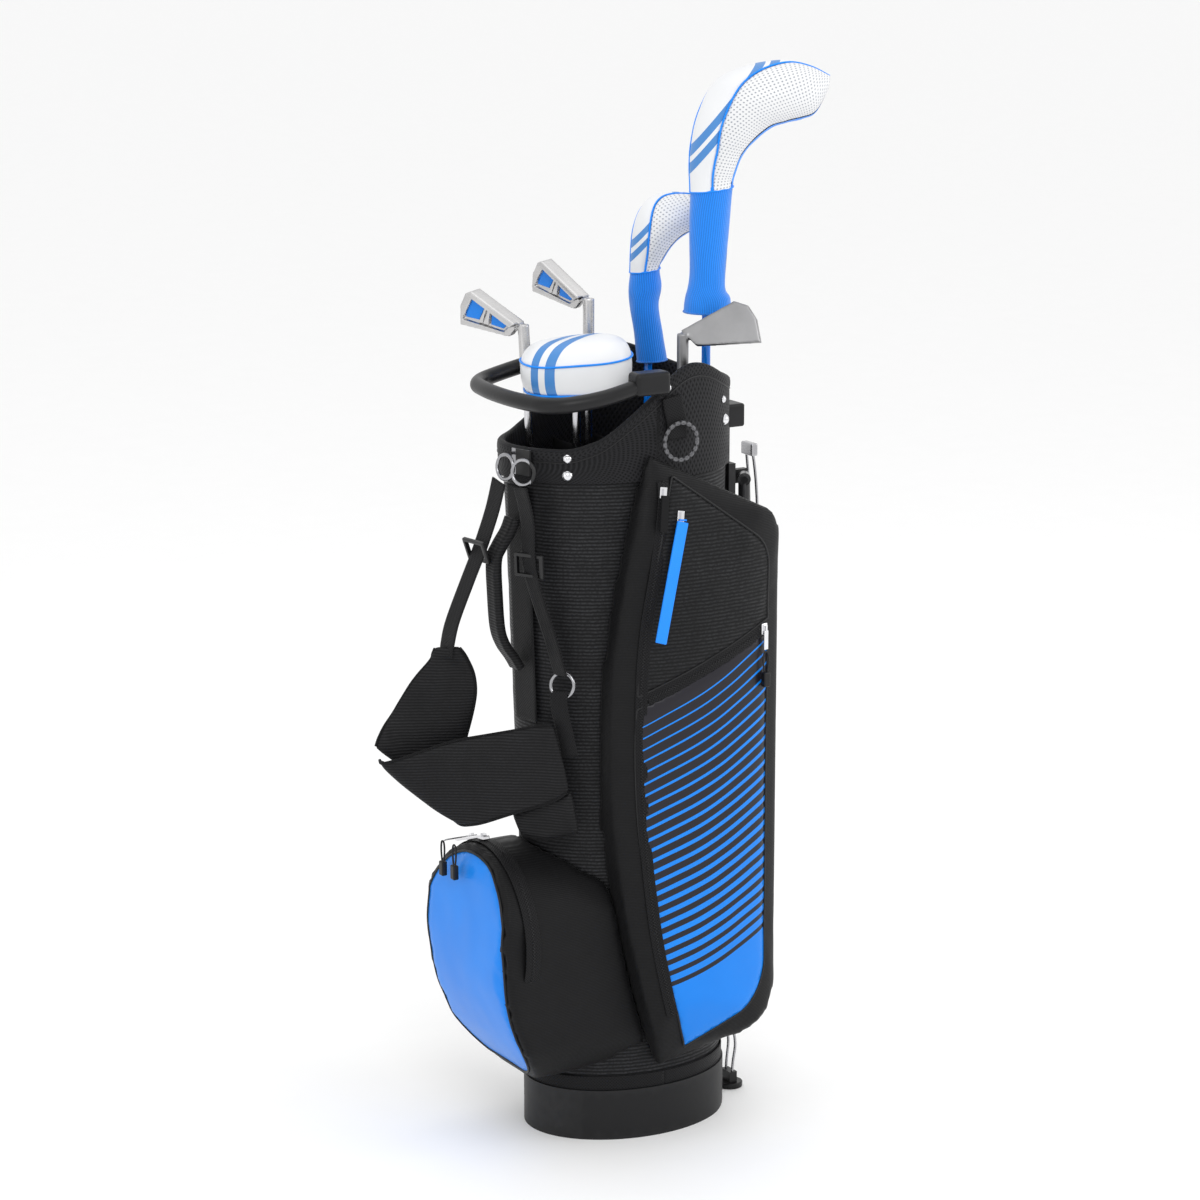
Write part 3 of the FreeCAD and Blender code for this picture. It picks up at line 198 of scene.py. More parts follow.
def makeBrushed():
    # fine scratches along one direction, with cloudy roughness
    group, inward, outward = newGroup(
        "brushedLines", [("Density", 1400.0)],
        [("Height", "NodeSocketFloat"), ("Cloud", "NodeSocketFloat")])
    place = objectPlace(group)
    axes = separate(group, place)
    stretch = group.nodes.new("ShaderNodeCombineXYZ")
    group.links.new(addMath(group, "MULTIPLY", axes[0], 30.0), stretch.inputs[0])
    group.links.new(addMath(group, "MULTIPLY", axes[1], 30.0), stretch.inputs[1])
    group.links.new(addMath(group, "MULTIPLY", axes[2], inward.outputs["Density"]), stretch.inputs[2])
    group.links.new(addNoise(group, stretch.outputs[0], 1.0, 3.0), outward.inputs["Height"])
    group.links.new(addNoise(group, place, 25.0, 4.0), outward.inputs["Cloud"])
    return group


def makePerforation():
    # rows of small holes on the covers' mesh panels
    group, inward, outward = newGroup(
        "perforation", [("Pitch", 0.0042)], [("Height", "NodeSocketFloat"), ("Hole", "NodeSocketFloat")])
    axes = separate(group, group.nodes.new("ShaderNodeTexCoord").outputs["UV"])
    parts = []
    for axis in (0, 1):
        cell = addMath(group, "FRACT", addMath(group, "DIVIDE", axes[axis], inward.outputs["Pitch"]))
        off = addMath(group, "SUBTRACT", cell, 0.5)
        parts.append(addMath(group, "MULTIPLY", off, off))
    reach = addMath(group, "SQRT", addMath(group, "ADD", parts[0], parts[1]))
    hole = addMath(group, "MULTIPLY", addMath(group, "SUBTRACT", 0.27, reach, True), 9.0, True)
    group.links.new(hole, outward.inputs["Hole"])
    group.links.new(addMath(group, "SUBTRACT", 1.0, hole), outward.inputs["Height"])
    return group


ribbedCloth, webbingWeave, surfaceGrain = makeRipstop(), makeWeave(), makeGrain()
edgeWear, brushedLines, perforation = makeWear(), makeBrushed(), makePerforation()


# materials
def startMaterial(name, roughness=0.5, metallic=0.0, coat=0.0, sheen=0.0, specular=0.5):
    material = bpy.data.materials.new(name)
    material.use_nodes = True
    tree = material.node_tree
    shader = tree.nodes["Principled BSDF"]
    shader.inputs["Roughness"].default_value = roughness
    shader.inputs["Metallic"].default_value = metallic
    shader.inputs["Coat Weight"].default_value = coat
    shader.inputs["Coat Roughness"].default_value = 0.12
    shader.inputs["Sheen Weight"].default_value = sheen
    shader.inputs["Sheen Roughness"].default_value = 0.45
    shader.inputs["Specular IOR Level"].default_value = specular
    return material, tree, shader


def placeGroup(tree, group, **values):
    node = tree.nodes.new("ShaderNodeGroup")
    node.node_tree = group
    for label, value in values.items():
        node.inputs[label].default_value = value
    return node


def mixColour(tree, factor, first, second):
    node = tree.nodes.new("ShaderNodeMix")
    node.data_type = "RGBA"
    tree.links.new(factor, node.inputs["Factor"])
    for value, socket in ((first, node.inputs["A"]), (second, node.inputs["B"])):
        if isinstance(value, tuple):
            socket.default_value = (*value, 1)
        else:
            tree.links.new(value, socket)
    return node.outputs["Result"]


def addBump(tree, shader, height, strength, distance):
    bump = tree.nodes.new("ShaderNodeBump")
    bump.inputs["Strength"].default_value = strength
    bump.inputs["Distance"].default_value = distance
    tree.links.new(height, bump.inputs["Height"])
    tree.links.new(bump.outputs["Normal"], shader.inputs["Normal"])


def rangeMap(tree, value, low, high):
    node = tree.nodes.new("ShaderNodeMapRange")
    node.inputs["To Min"].default_value = low
    node.inputs["To Max"].default_value = high
    tree.links.new(value, node.inputs["Value"])
    return node.outputs["Result"]


def clothMaterial(name, dark, light, pitch=0.0026, broken=0.5, bump=0.35, rough=(0.42, 0.62)):
    material, tree, shader = startMaterial(name, sheen=0.02, specular=0.18)
    cloth = placeGroup(tree, ribbedCloth, Pitch=pitch, Broken=broken)
    grain = placeGroup(tree, surfaceGrain, Scale=1500.0, Patch=9.0)
    base = mixColour(tree, cloth.outputs["Shade"], dark, light)
    shade = mixColour(tree, rangeMap(tree, grain.outputs["Patches"], 0.0, 0.45), base, dark)
    tree.links.new(shade, shader.inputs["Base Color"])
    tree.links.new(rangeMap(tree, cloth.outputs["Height"], rough[1], rough[0]), shader.inputs["Roughness"])
    addBump(tree, shader, cloth.outputs["Height"], bump, 0.0006)
    return material


def grainMaterial(name, dark, light, scale=900.0, bump=0.2, rough=(0.35, 0.55), wear=0.0, wearColour=None,
                  coat=0.0, metallic=0.0, sheen=0.0, specular=0.3):
    material, tree, shader = startMaterial(name, coat=coat, metallic=metallic, sheen=sheen, specular=specular)
    grain = placeGroup(tree, surfaceGrain, Scale=scale, Patch=14.0)
    base = mixColour(tree, grain.outputs["Patches"], dark, light)
    if wear:
        worn = placeGroup(tree, edgeWear, Amount=wear)
        base = mixColour(tree, worn.outputs["Mask"], base, wearColour or light)
    tree.links.new(base, shader.inputs["Base Color"])
    tree.links.new(rangeMap(tree, grain.outputs["Patches"], *rough), shader.inputs["Roughness"])
    addBump(tree, shader, grain.outputs["Height"], bump, 0.0004)
    return material


def metalMaterial(name, dark, light, density=1400.0, bump=0.12, rough=(0.18, 0.36), wear=0.35):
    material, tree, shader = startMaterial(name, metallic=1.0)
    lines = placeGroup(tree, brushedLines, Density=density)
    worn = placeGroup(tree, edgeWear, Amount=wear)
    base = mixColour(tree, lines.outputs["Cloud"], dark, light)
    edged = mixColour(tree, worn.outputs["Mask"], base, (0.95, 0.95, 0.96))
    tree.links.new(edged, shader.inputs["Base Color"])
    tree.links.new(rangeMap(tree, lines.outputs["Height"], *rough), shader.inputs["Roughness"])
    addBump(tree, shader, lines.outputs["Height"], bump, 0.0002)
    return material


def weaveMaterial(name, dark, light, thread=0.0016, bump=0.6):
    material, tree, shader = startMaterial(name, sheen=0.02, specular=0.15)
    weave = placeGroup(tree, webbingWeave, Thread=thread)
    grain = placeGroup(tree, surfaceGrain, Scale=1200.0, Patch=20.0)
    base = mixColour(tree, weave.outputs["Height"], dark, light)
    base = mixColour(tree, rangeMap(tree, grain.outputs["Patches"], 0.0, 0.3), base, dark)
    tree.links.new(base, shader.inputs["Base Color"])
    tree.links.new(rangeMap(tree, weave.outputs["Gap"], 0.45, 0.75), shader.inputs["Roughness"])
    addBump(tree, shader, weave.outputs["Height"], bump, 0.0005)
    return material


blueRgb, deepBlue = (0.0, 0.235, 0.83), (0.0, 0.175, 0.68)
shellCloth = clothMaterial("shellCloth", (0.0022, 0.0022, 0.0026), (0.040, 0.041, 0.045), 0.0042, 0.55, 0.6)
pouchCloth = clothMaterial("pouchCloth", (0.0022, 0.0022, 0.0026), (0.009, 0.009, 0.010), 0.0018, 0.2, 0.3)
panelCloth = clothMaterial("panelCloth", (0.0024, 0.0024, 0.0028), (0.026, 0.027, 0.029), 0.0042, 0.6, 0.5)
padCloth = clothMaterial("padCloth", (0.0024, 0.0024, 0.0028), (0.018, 0.018, 0.020), 0.0034, 0.35, 0.5)
liningCloth = grainMaterial("liningCloth", (0.003, 0.003, 0.0034), (0.008, 0.008, 0.009), 1400.0, 0.3,
                            (0.7, 0.85), specular=0.15)
meshCloth = weaveMaterial("meshCloth", (0.0012, 0.0012, 0.0014), (0.016, 0.016, 0.018), 0.0030, 0.9)
webbing = weaveMaterial("webbing", (0.0015, 0.0015, 0.0018), (0.010, 0.010, 0.011), 0.0018)
mouldedBlack = grainMaterial("mouldedBlack", (0.003, 0.003, 0.0034), (0.007, 0.007, 0.008), 1600.0, 0.12,
                             (0.3, 0.48), wear=0.25, wearColour=(0.08, 0.08, 0.085))
gripBlack = grainMaterial("gripBlack", (0.004, 0.004, 0.0045), (0.010, 0.010, 0.011), 700.0, 0.3, (0.3, 0.45),
                          wear=0.2, wearColour=(0.07, 0.07, 0.07))
towelCord = weaveMaterial("towelCord", (0.0015, 0.0015, 0.0018), (0.16, 0.16, 0.17), 0.0038, 0.5)
bootRubber = grainMaterial("bootRubber", (0.0025, 0.0025, 0.003), (0.006, 0.006, 0.007), 1200.0, 0.2,
                           (0.38, 0.6), wear=0.3, wearColour=(0.06, 0.06, 0.06))
pipingCord = grainMaterial("pipingCord", (0.003, 0.003, 0.0035), (0.012, 0.012, 0.013), 1800.0, 0.3,
                           (0.35, 0.5))
blueCloth = grainMaterial("blueCloth", deepBlue, blueRgb, 1500.0, 0.12, (0.3, 0.44), coat=0.1)
blueTrim = grainMaterial("blueTrim", (0.0, 0.2, 0.8), (0.01, 0.3, 0.95), 1500.0, 0.15, (0.35, 0.5))
bluePullRubber = grainMaterial("bluePullRubber", (0.0, 0.21, 0.85), (0.01, 0.27, 0.95), 900.0, 0.1, (0.3, 0.42),
                               coat=0.2)
chromePlate = metalMaterial("chromePlate", (0.62, 0.62, 0.64), (0.85, 0.85, 0.87), 900.0, 0.03,
                            (0.08, 0.2), 0.2)
brightShaft = metalMaterial("brightShaft", (0.50, 0.50, 0.52), (0.72, 0.72, 0.74), 3000.0, 0.03,
                            (0.1, 0.22), 0.1)
castIron = metalMaterial("castIron", (0.42, 0.42, 0.43), (0.66, 0.65, 0.64), 1500.0, 0.10, (0.2, 0.36), 0.5)
darkWedge = metalMaterial("darkWedge", (0.20, 0.20, 0.205), (0.33, 0.33, 0.335), 2600.0, 0.16,
                          (0.28, 0.42), 0.4)
wireSteel = metalMaterial("wireSteel", (0.32, 0.32, 0.33), (0.5, 0.5, 0.52), 900.0, 0.04, (0.2, 0.35), 0.2)
legPaint = grainMaterial("legPaint", (0.010, 0.010, 0.011), (0.02, 0.02, 0.022), 2000.0, 0.05, (0.25, 0.35),
                         coat=0.3, wear=0.3, wearColour=(0.25, 0.25, 0.26))
blueShaft = grainMaterial("blueShaft", (0.0, 0.13, 0.6), (0.0, 0.2, 0.78), 1500.0, 0.02, (0.12, 0.2), coat=0.6)
blackGloss = grainMaterial("blackGloss", (0.006, 0.006, 0.008), (0.012, 0.012, 0.016), 1500.0, 0.02, (0.1, 0.2),
                           coat=0.6)
clubRubber = grainMaterial("clubRubber", (0.008, 0.008, 0.009), (0.02, 0.02, 0.021), 420.0, 0.5, (0.5, 0.7))
cordBraid = grainMaterial("cordBraid", (0.006, 0.006, 0.007), (0.02, 0.02, 0.02), 2400.0, 0.6, (0.5, 0.7))
rodPlastic = grainMaterial("rodPlastic", (0.5, 0.49, 0.46), (0.62, 0.6, 0.57), 900.0, 0.1, (0.4, 0.5))


def knitMaterial():
    # ribbed knitted neck: fine ribs up the sock, from its uv map
    material, tree, shader = startMaterial("blueKnit", 0.75, sheen=0.35)
    uv = tree.nodes.new("ShaderNodeTexCoord").outputs["UV"]
    axes = separate(tree, uv)
    rib = addMath(tree, "ADD", addMath(tree, "MULTIPLY", addMath(
        tree, "SINE", addMath(tree, "MULTIPLY", axes[0], 2 * math.pi / 0.0026)), 0.5), 0.5)
    stitch = addMath(tree, "ADD", addMath(tree, "MULTIPLY", addMath(
        tree, "SINE", addMath(tree, "MULTIPLY", axes[1], 2 * math.pi / 0.0018)), 0.5), 0.5)
    height = addMath(tree, "MULTIPLY", rib, addMath(tree, "ADD", addMath(tree, "MULTIPLY", stitch, 0.3), 0.7))
    tree.links.new(mixColour(tree, height, (0.0, 0.15, 0.62), (0.0, 0.27, 0.95)), shader.inputs["Base Color"])
    addBump(tree, shader, height, 0.6, 0.0007)
    return material


def perforatedMaterial():
    material, tree, shader = startMaterial("perforatedWhite", 0.5)
    holes = placeGroup(tree, perforation, Pitch=0.0042)
    grain = placeGroup(tree, surfaceGrain, Scale=700.0, Patch=12.0)
    white = mixColour(tree, grain.outputs["Patches"], (0.70, 0.71, 0.72), (0.78, 0.78, 0.79))
    pierced = mixColour(tree, holes.outputs["Hole"], white, (0.30, 0.32, 0.36))
    tree.links.new(pierced, shader.inputs["Base Color"])
    tree.links.new(rangeMap(tree, holes.outputs["Hole"], 0.42, 0.8), shader.inputs["Roughness"])
    addBump(tree, shader, holes.outputs["Height"], 0.5, 0.0006)
    return material


def stripedMaterial():
    # slanting stripes that grow from thin lines at the top to solid blue at the bottom
    stripes = {"pitch": 0.01375, "slope": 0.487, "flatten": 0.42, "top": 0.529, "solid": 0.1955, "wave": 0.0012,
               "waves": 46.0, "thin": 0.10, "thicken": 0.46, "sideThicken": 0.22}
    material, tree, shader = startMaterial("stripedPanel", 0.42, coat=0.08, specular=0.3)
    place = objectPlace(tree)
    axes = separate(tree, place)
    swing = addMath(tree, "SINE", addMath(tree, "MULTIPLY", axes[1], stripes["waves"]))
    bend = addMath(tree, "MULTIPLY", swing, stripes["wave"])
    lower = addMath(tree, "MULTIPLY", addMath(tree, "SUBTRACT", stripes["top"], axes[2]), stripes["flatten"])
    slope = addMath(tree, "SUBTRACT", stripes["slope"], lower)
    fall = addMath(tree, "SUBTRACT", axes[2], addMath(tree, "MULTIPLY", axes[1], slope))
    fall = addMath(tree, "ADD", fall, bend)
    down = addMath(tree, "SUBTRACT", stripes["top"], fall)
    share = addMath(tree, "DIVIDE", down, stripes["top"] - stripes["solid"], True)
    cell = addMath(tree, "FRACT", addMath(tree, "DIVIDE", down, stripes["pitch"]))
    width = addMath(tree, "ADD", addMath(tree, "MULTIPLY", share, stripes["thicken"]), stripes["thin"])
    sideways = addMath(tree, "MULTIPLY", addMath(tree, "ADD", axes[1], 0.06), 1.5, True)
    width = addMath(tree, "ADD", width, addMath(tree, "MULTIPLY", sideways, stripes["sideThicken"]))
    line = addMath(tree, "LESS_THAN", cell, width)
    solid = addMath(tree, "GREATER_THAN", down, stripes["top"] - stripes["solid"])
    above = addMath(tree, "GREATER_THAN", down, 0.0)
    mask = addMath(tree, "MULTIPLY", addMath(tree, "MAXIMUM", line, solid), above)
    grain = placeGroup(tree, surfaceGrain, Scale=1700.0, Patch=10.0)
    blue = mixColour(tree, grain.outputs["Patches"], deepBlue, blueRgb)
    tree.links.new(mixColour(tree, mask, (0.008, 0.007, 0.012), blue), shader.inputs["Base Color"])
    tree.links.new(rangeMap(tree, grain.outputs["Patches"], 0.3, 0.46), shader.inputs["Roughness"])
    addBump(tree, shader, grain.outputs["Height"], 0.15, 0.0003)
    return material


def hardwareMaterial():
    # plated rings above and below, black moulded adjusters between them
    levels = {"low": 0.65, "high": 0.745, "tab": -0.1545}
    material, tree, shader = startMaterial("strapHardware", 0.2)
    axes = separate(tree, objectPlace(tree))
    middle = addMath(tree, "MULTIPLY", addMath(tree, "GREATER_THAN", axes[2], levels["low"]),
                     addMath(tree, "LESS_THAN", axes[2], levels["high"]))
    tab = addMath(tree, "MULTIPLY", addMath(tree, "GREATER_THAN", axes[2], levels["high"]),
                  addMath(tree, "GREATER_THAN", axes[1], levels["tab"]))
    black = addMath(tree, "MAXIMUM", middle, tab)
    lines = placeGroup(tree, brushedLines, Density=900.0)
    plated = mixColour(tree, lines.outputs["Cloud"], (0.26, 0.26, 0.27), (0.42, 0.42, 0.44))
    tree.links.new(mixColour(tree, black, plated, (0.004, 0.004, 0.0045)), shader.inputs["Base Color"])
    tree.links.new(addMath(tree, "SUBTRACT", 1.0, black), shader.inputs["Metallic"])
    tree.links.new(rangeMap(tree, addMath(tree, "ADD", addMath(tree, "MULTIPLY", black, 0.7), addMath(
        tree, "MULTIPLY", lines.outputs["Cloud"], 0.3)), 0.1, 0.5), shader.inputs["Roughness"])
    addBump(tree, shader, lines.outputs["Height"], 0.05, 0.0002)
    return material


strapHardware = hardwareMaterial()
blueKnit, perforatedWhite, stripedPanel = knitMaterial(), perforatedMaterial(), stripedMaterial()
print("materials ready")


# mesh helpers
def scaled(points):
    return [Vector(p) * mm for p in points]


def meshPiece(name, verts, faces, materials, body, uvs=None, smooth=True):
    data = bpy.data.meshes.new(name)
    data.from_pydata([tuple(v) for v in verts], [], faces)
    for material in materials if isinstance(materials, (list, tuple)) else [materials]:
        data.materials.append(material)
    if uvs:
        layer = data.uv_layers.new(name="uv")
        for loop in data.loops:
            layer.data[loop.index].uv = uvs[loop.vertex_index]
    if smooth:
        data.shade_smooth()
    piece = bpy.data.objects.new(name, data)
    bpy.context.collection.objects.link(piece)
    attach(piece, body)
    return piece


def curvePiece(name, points, radius, material, body, cyclic=False, resolution=4):
    data = bpy.data.curves.new(name, "CURVE")
    data.dimensions = "3D"
    data.bevel_depth = radius
    data.bevel_resolution = 3
    data.resolution_u = resolution
    data.use_fill_caps = True
    spline = data.splines.new("NURBS")
    spline.points.add(len(points) - 1)
    for point, place in zip(spline.points, points):
        point.co = (*place, 1)
    spline.order_u = 3
    spline.use_endpoint_u = not cyclic
    spline.use_cyclic_u = cyclic
    data.materials.append(material)
    piece = bpy.data.objects.new(name, data)
    bpy.context.collection.objects.link(piece)
    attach(piece, body)
    return piece


def smoothPath(points, steps=6):
    # Catmull-Rom line through the points, for strips that lie on the bag.
    out = []
    last = len(points) - 1
    for i in range(last):
        a, b = points[max(i - 1, 0)], points[i]
        c, d = points[i + 1], points[min(i + 2, last)]
        for k in range(steps):
            t = k / steps
            out.append(0.5 * ((2 * b) + (c - a) * t + (2 * a - 5 * b + 4 * c - d) * t * t
                              + (3 * b - a - 3 * c + d) * t ** 3))
    out.append(points[last])
    return out


def loftFaces(rows, count, capEnds=True):
    # Quads between closed rows of count points each, and a cap on the first and last row.
    faces = []
    for low in range(0, (rows - 1) * count, count):
        high = low + count
        faces += [(low + k, low + (k + 1) % count, high + (k + 1) % count, high + k) for k in range(count)]
    if capEnds:
        faces.append(tuple(range(count - 1, -1, -1)))
        faces.append(tuple((rows - 1) * count + k for k in range(count)))
    return faces


def strapPiece(name, points, across, width, thick, material, body, steps=8):
    # Flat webbing with rounded selvedges; across gives its width direction at each point.
    line = smoothPath([Vector(p) for p in points], steps)
    turns = smoothPath([Vector(a) for a in across], steps)
    half = [(-0.5, 0.0), (-0.47, 0.42), (-0.40, 0.5), (-0.2, 0.46), (0.0, 0.45), (0.2, 0.46), (0.40, 0.5),
            (0.47, 0.42), (0.5, 0.0), (0.47, -0.42), (0.40, -0.5), (0.2, -0.46), (0.0, -0.45), (-0.2, -0.46),
            (-0.40, -0.5), (-0.47, -0.42)]
    verts, uvs = [], []
    run = 0.0
    for i, place in enumerate(line):
        along = (line[min(i + 1, len(line) - 1)] - line[max(i - 1, 0)]).normalized()
        wide = turns[i] - along * turns[i].dot(along)
        wide.normalize()
        out = along.cross(wide).normalized()
        if i:
            run += (place - line[i - 1]).length
        for a, b in half:
            verts.append(place + wide * (a * width) + out * (b * thick))
            uvs.append((run, a * width))
    return meshPiece(name, verts, loftFaces(len(line), len(half)), material, body, uvs)


def ringLoft(name, rings, material, body, capEnds=True):
    # Skin over closed rings that all have the same number of points, with a uv map in metres.
    n = len(rings[0])
    verts = [v for ring in rings for v in ring]
    uvs = []
    run = 0.0
    for i, ring in enumerate(rings):
        if i:
            run += sum((a - b).length for a, b in zip(ring, rings[i - 1])) / n
        around = 0.0
        for k, place in enumerate(ring):
            if k:
                around += (place - ring[k - 1]).length
            uvs.append((around, run))
    return meshPiece(name, verts, loftFaces(len(rings), n, capEnds), material, body, uvs)


def recoat(nodeName, material):
    item = nodes[nodeName]
    if item.data.materials:
        for i in range(len(item.data.materials)):
            item.data.materials[i] = material
    else:
        item.data.materials.append(material)
    item.data.shade_smooth()


def voxelCopy(nodeName, name, voxel, passes):
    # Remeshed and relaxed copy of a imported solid.
    piece = bpy.data.objects.new(name, nodes[nodeName].data.copy())
    bpy.context.collection.objects.link(piece)
    remesh = piece.modifiers.new("remesh", "REMESH")
    remesh.mode = "VOXEL"
    remesh.voxel_size = voxel
    relax = piece.modifiers.new("relax", "SMOOTH")
    relax.factor = 0.5
    relax.iterations = passes
    piece.data = applied(piece)
    return piece


def finishCopy(piece, material, body, nodeName):
    piece.data.materials.clear()
    piece.data.materials.append(material)
    piece.data.shade_smooth()
    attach(piece, body)
    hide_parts(nodeName)
    return piece


def pressureRun(piece, pressure, frames, tension, compression, bending):
    # Short cloth run without gravity that swells a closed piece.
    cloth = piece.modifiers.new("cloth", "CLOTH")
    settings = cloth.settings
    settings.use_pressure = True
    settings.uniform_pressure_force = pressure
    settings.effector_weights.gravity = 0
    settings.quality = 4
    settings.mass = 0.25
    settings.tension_stiffness = tension
    settings.compression_stiffness = compression
    settings.bending_stiffness = bending
    cloth.point_cache.frame_start = 1
    cloth.point_cache.frame_end = frames
    for step in range(1, frames + 1):
        bpy.context.scene.frame_set(step)
    piece.data = applied(piece)
    bpy.context.scene.frame_set(1)


def cappedMove(move, cap):
    return move.normalized() * cap if move.length > cap else move


def softCopy(nodeName, name, material, body, slotName, voxel, pressure, cap, shrink, keep=None, grow=(1, 1, 1)):
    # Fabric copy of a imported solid, puffed by a short cloth run that moves no point further than cap.
    quickCoarsening, relaxPasses, frames, fill = 1.8, 3, 20, 0.6
    piece = voxelCopy(nodeName, name, voxel * (1.0), relaxPasses)
    start = [v.co.copy() for v in piece.data.vertices]
    for vertex, place in zip(piece.data.vertices, start):
        vertex.co = place - vertex.normal * shrink
    pressureRun(piece, pressure, frames, tension=18, compression=14, bending=0.6)
    for vertex, place in zip(piece.data.vertices, start):
        move = cappedMove(vertex.co - place, cap) * (keep(place) if keep else 1.0)
        vertex.co = place + Vector(m * g for m, g in zip(move, grow))
    finishCopy(piece, material, body, nodeName)
    return piece


def applied(piece):
    # The mesh with every modifier of the piece applied, which are then removed.
    graph = bpy.context.evaluated_depsgraph_get()
    data = bpy.data.meshes.new_from_object(piece.evaluated_get(graph))
    piece.modifiers.clear()
    return data


def subdivide(piece, levels=1):
    modifier = piece.modifiers.new("smooth", "SUBSURF")
    modifier.levels = levels
    modifier.render_levels = levels
    piece.data = applied(piece)
    piece.data.shade_smooth()
    return piece


def treeOf(piece):
    graph = bpy.context.evaluated_depsgraph_get()
    return BVHTree.FromObject(piece, graph)


# floor: a plain pale sheet that reaches past the view
floorMaterial = grainMaterial("studioFloor", (0.93, 0.93, 0.93), (0.95, 0.95, 0.95), 40.0, 0.0, (0.8, 0.9))
floorData = bpy.data.meshes.new("floor")
floorData.from_pydata([(-60, -60, 0), (60, -60, 0), (60, 60, 0), (-60, 60, 0)], [], [(0, 1, 2, 3)])
floorData.materials.append(floorMaterial)
floor = bpy.data.objects.new("floor", floorData)
bpy.context.collection.objects.link(floor)

# loops of thin cord that hang the toggles from their sliders
pullCords = {
    "diameter": 0.0022, "length": 0.0505,
    "loop": [(-2.2, 0, 0.4), (-4.1, 0, 9), (-4.2, 0, 18), (-2.4, 0, 24), (2.4, 0, 24), (4.2, 0, 18),
             (4.1, 0, 9), (2.2, 0, 0.4)],
    "places": {"ball_pull_cord_left": ((-41.64, -217.2, 329.55), 0, "ball_zip_left"),
               "ball_pull_cord_right": ((-13.40, -217.2, 332.12), 0, "ball_zip_right"),
               "diagonal_pull_cord": ((131.5, 109.8, 550.2), 100, "diagonal_zip")},
}
for cordName, (base, turn, body) in pullCords["places"].items():
    spin = Matrix.Rotation(math.radians(turn), 3, "Z")
    route = [(Vector(base) + spin @ Vector(p)) * mm for p in pullCords["loop"]]
    loop = curvePiece(cordName + "_loop", route, pullCords["diameter"] / 2, cordBraid, body)
    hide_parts(cordName)
print("cords placed")

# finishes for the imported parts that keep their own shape
keptFinishes = {
    "base_cup": bootRubber, "stay_rods": rodPlastic, "lift_handle": gripBlack, "cuff_rivets": chromePlate,
    "strap_hardware": strapHardware, "leg_hub": mouldedBlack, "leg_left": legPaint, "leg_right": legPaint,
    "leg_foot_left": bootRubber, "leg_foot_right": bootRubber, "actuator_wires": wireSteel,
    "actuator_foot": mouldedBlack, "ball_zip_slider_left": chromePlate, "ball_zip_slider_right": chromePlate,
    "ball_pull_toggle_left": mouldedBlack, "ball_pull_toggle_right": mouldedBlack,
    "long_zip_slider": chromePlate, "side_zip_slider": chromePlate,
    "diagonal_zip_slider": chromePlate, "diagonal_pull_toggle": mouldedBlack,
    "side_zip_pull": bluePullRubber, "long_zip_puller": webbing,
    "driver_head": blackGloss, "fairway_head": blackGloss, "putter_head": castIron, "driver_shaft": blueShaft,
    "fairway_shaft": blueShaft, "putter_shaft": brightShaft, "iron_long_shaft": brightShaft,
    "iron_mid_shaft": brightShaft, "wedge_shaft": brightShaft,
}
for club in ("driver", "fairway", "putter", "iron_long", "iron_mid", "wedge"):
    keptFinishes[club + "_grip"] = clubRubber
for nodeName, material in keptFinishes.items():
    recoat(nodeName, material)

# bag tube: a thin shell with shallow creases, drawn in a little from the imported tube
# bottom and top give half depth, half width and centre
tubeShape = {"bottom": (120.6, 89.6, 0), "top": (135.6, 97.1, -13), "low": 58, "high": 788, "crease": 1.5,
             "wall": 2.0, "levels": 120, "fade": (60, 50)}


def tubeAt(z):
    # Half depth, half width and centre of the tube at the height z.
    t = (z - tubeShape["low"]) / (tubeShape["high"] - tubeShape["low"])
    return [a + (b - a) * t for a, b in zip(tubeShape["bottom"], tubeShape["top"])]


def tubeRing(z, inset, count=150):
    halfY, halfX, centre = tubeAt(z)
    fadeLow, fadeHigh = tubeShape["fade"]
    ends = min(1, (z - tubeShape["low"]) / fadeLow, (tubeShape["high"] - z) / fadeHigh)
    ring = []
    for k in range(count):
        a = 2 * math.pi * k / count
        soft = noise.noise(Vector((math.cos(a) * 1.6, math.sin(a) * 1.6, z * 0.021)))
        fold = noise.noise(Vector((math.cos(a) * 0.9, math.sin(a) * 0.9, z * 0.055 + 7)))
        pull = max(tubeShape["crease"] * (0.5 + 0.5 * soft + 0.5 * max(fold, 0)) * ends, 0)
        x = (halfX - inset - pull) * math.cos(a)
        y = centre + (halfY - inset - pull) * math.sin(a)
        ring.append(Vector((x, y, z)) * mm)
    return ring


levels = [tubeShape["low"] + (tubeShape["high"] - tubeShape["low"]) * i / tubeShape["levels"]
          for i in range(tubeShape["levels"] + 1)]
outerRings = [tubeRing(z, 0) for z in levels]
innerRings = [tubeRing(z, tubeShape["wall"]) for z in reversed(levels)]
bagShell = ringLoft("bag_shell", outerRings + innerRings, shellCloth, "bag", capEnds=False)
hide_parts("bag_tube")
print("bag shell made")


def swellAlong(axis, amount):
    # Lets a pocket swell along one axis and hardly at all along the others.
    return tuple(1.0 if i == axis else amount for i in range(3))


def clamp(value, low=0.0, high=1.0):
    return max(low, min(high, value))


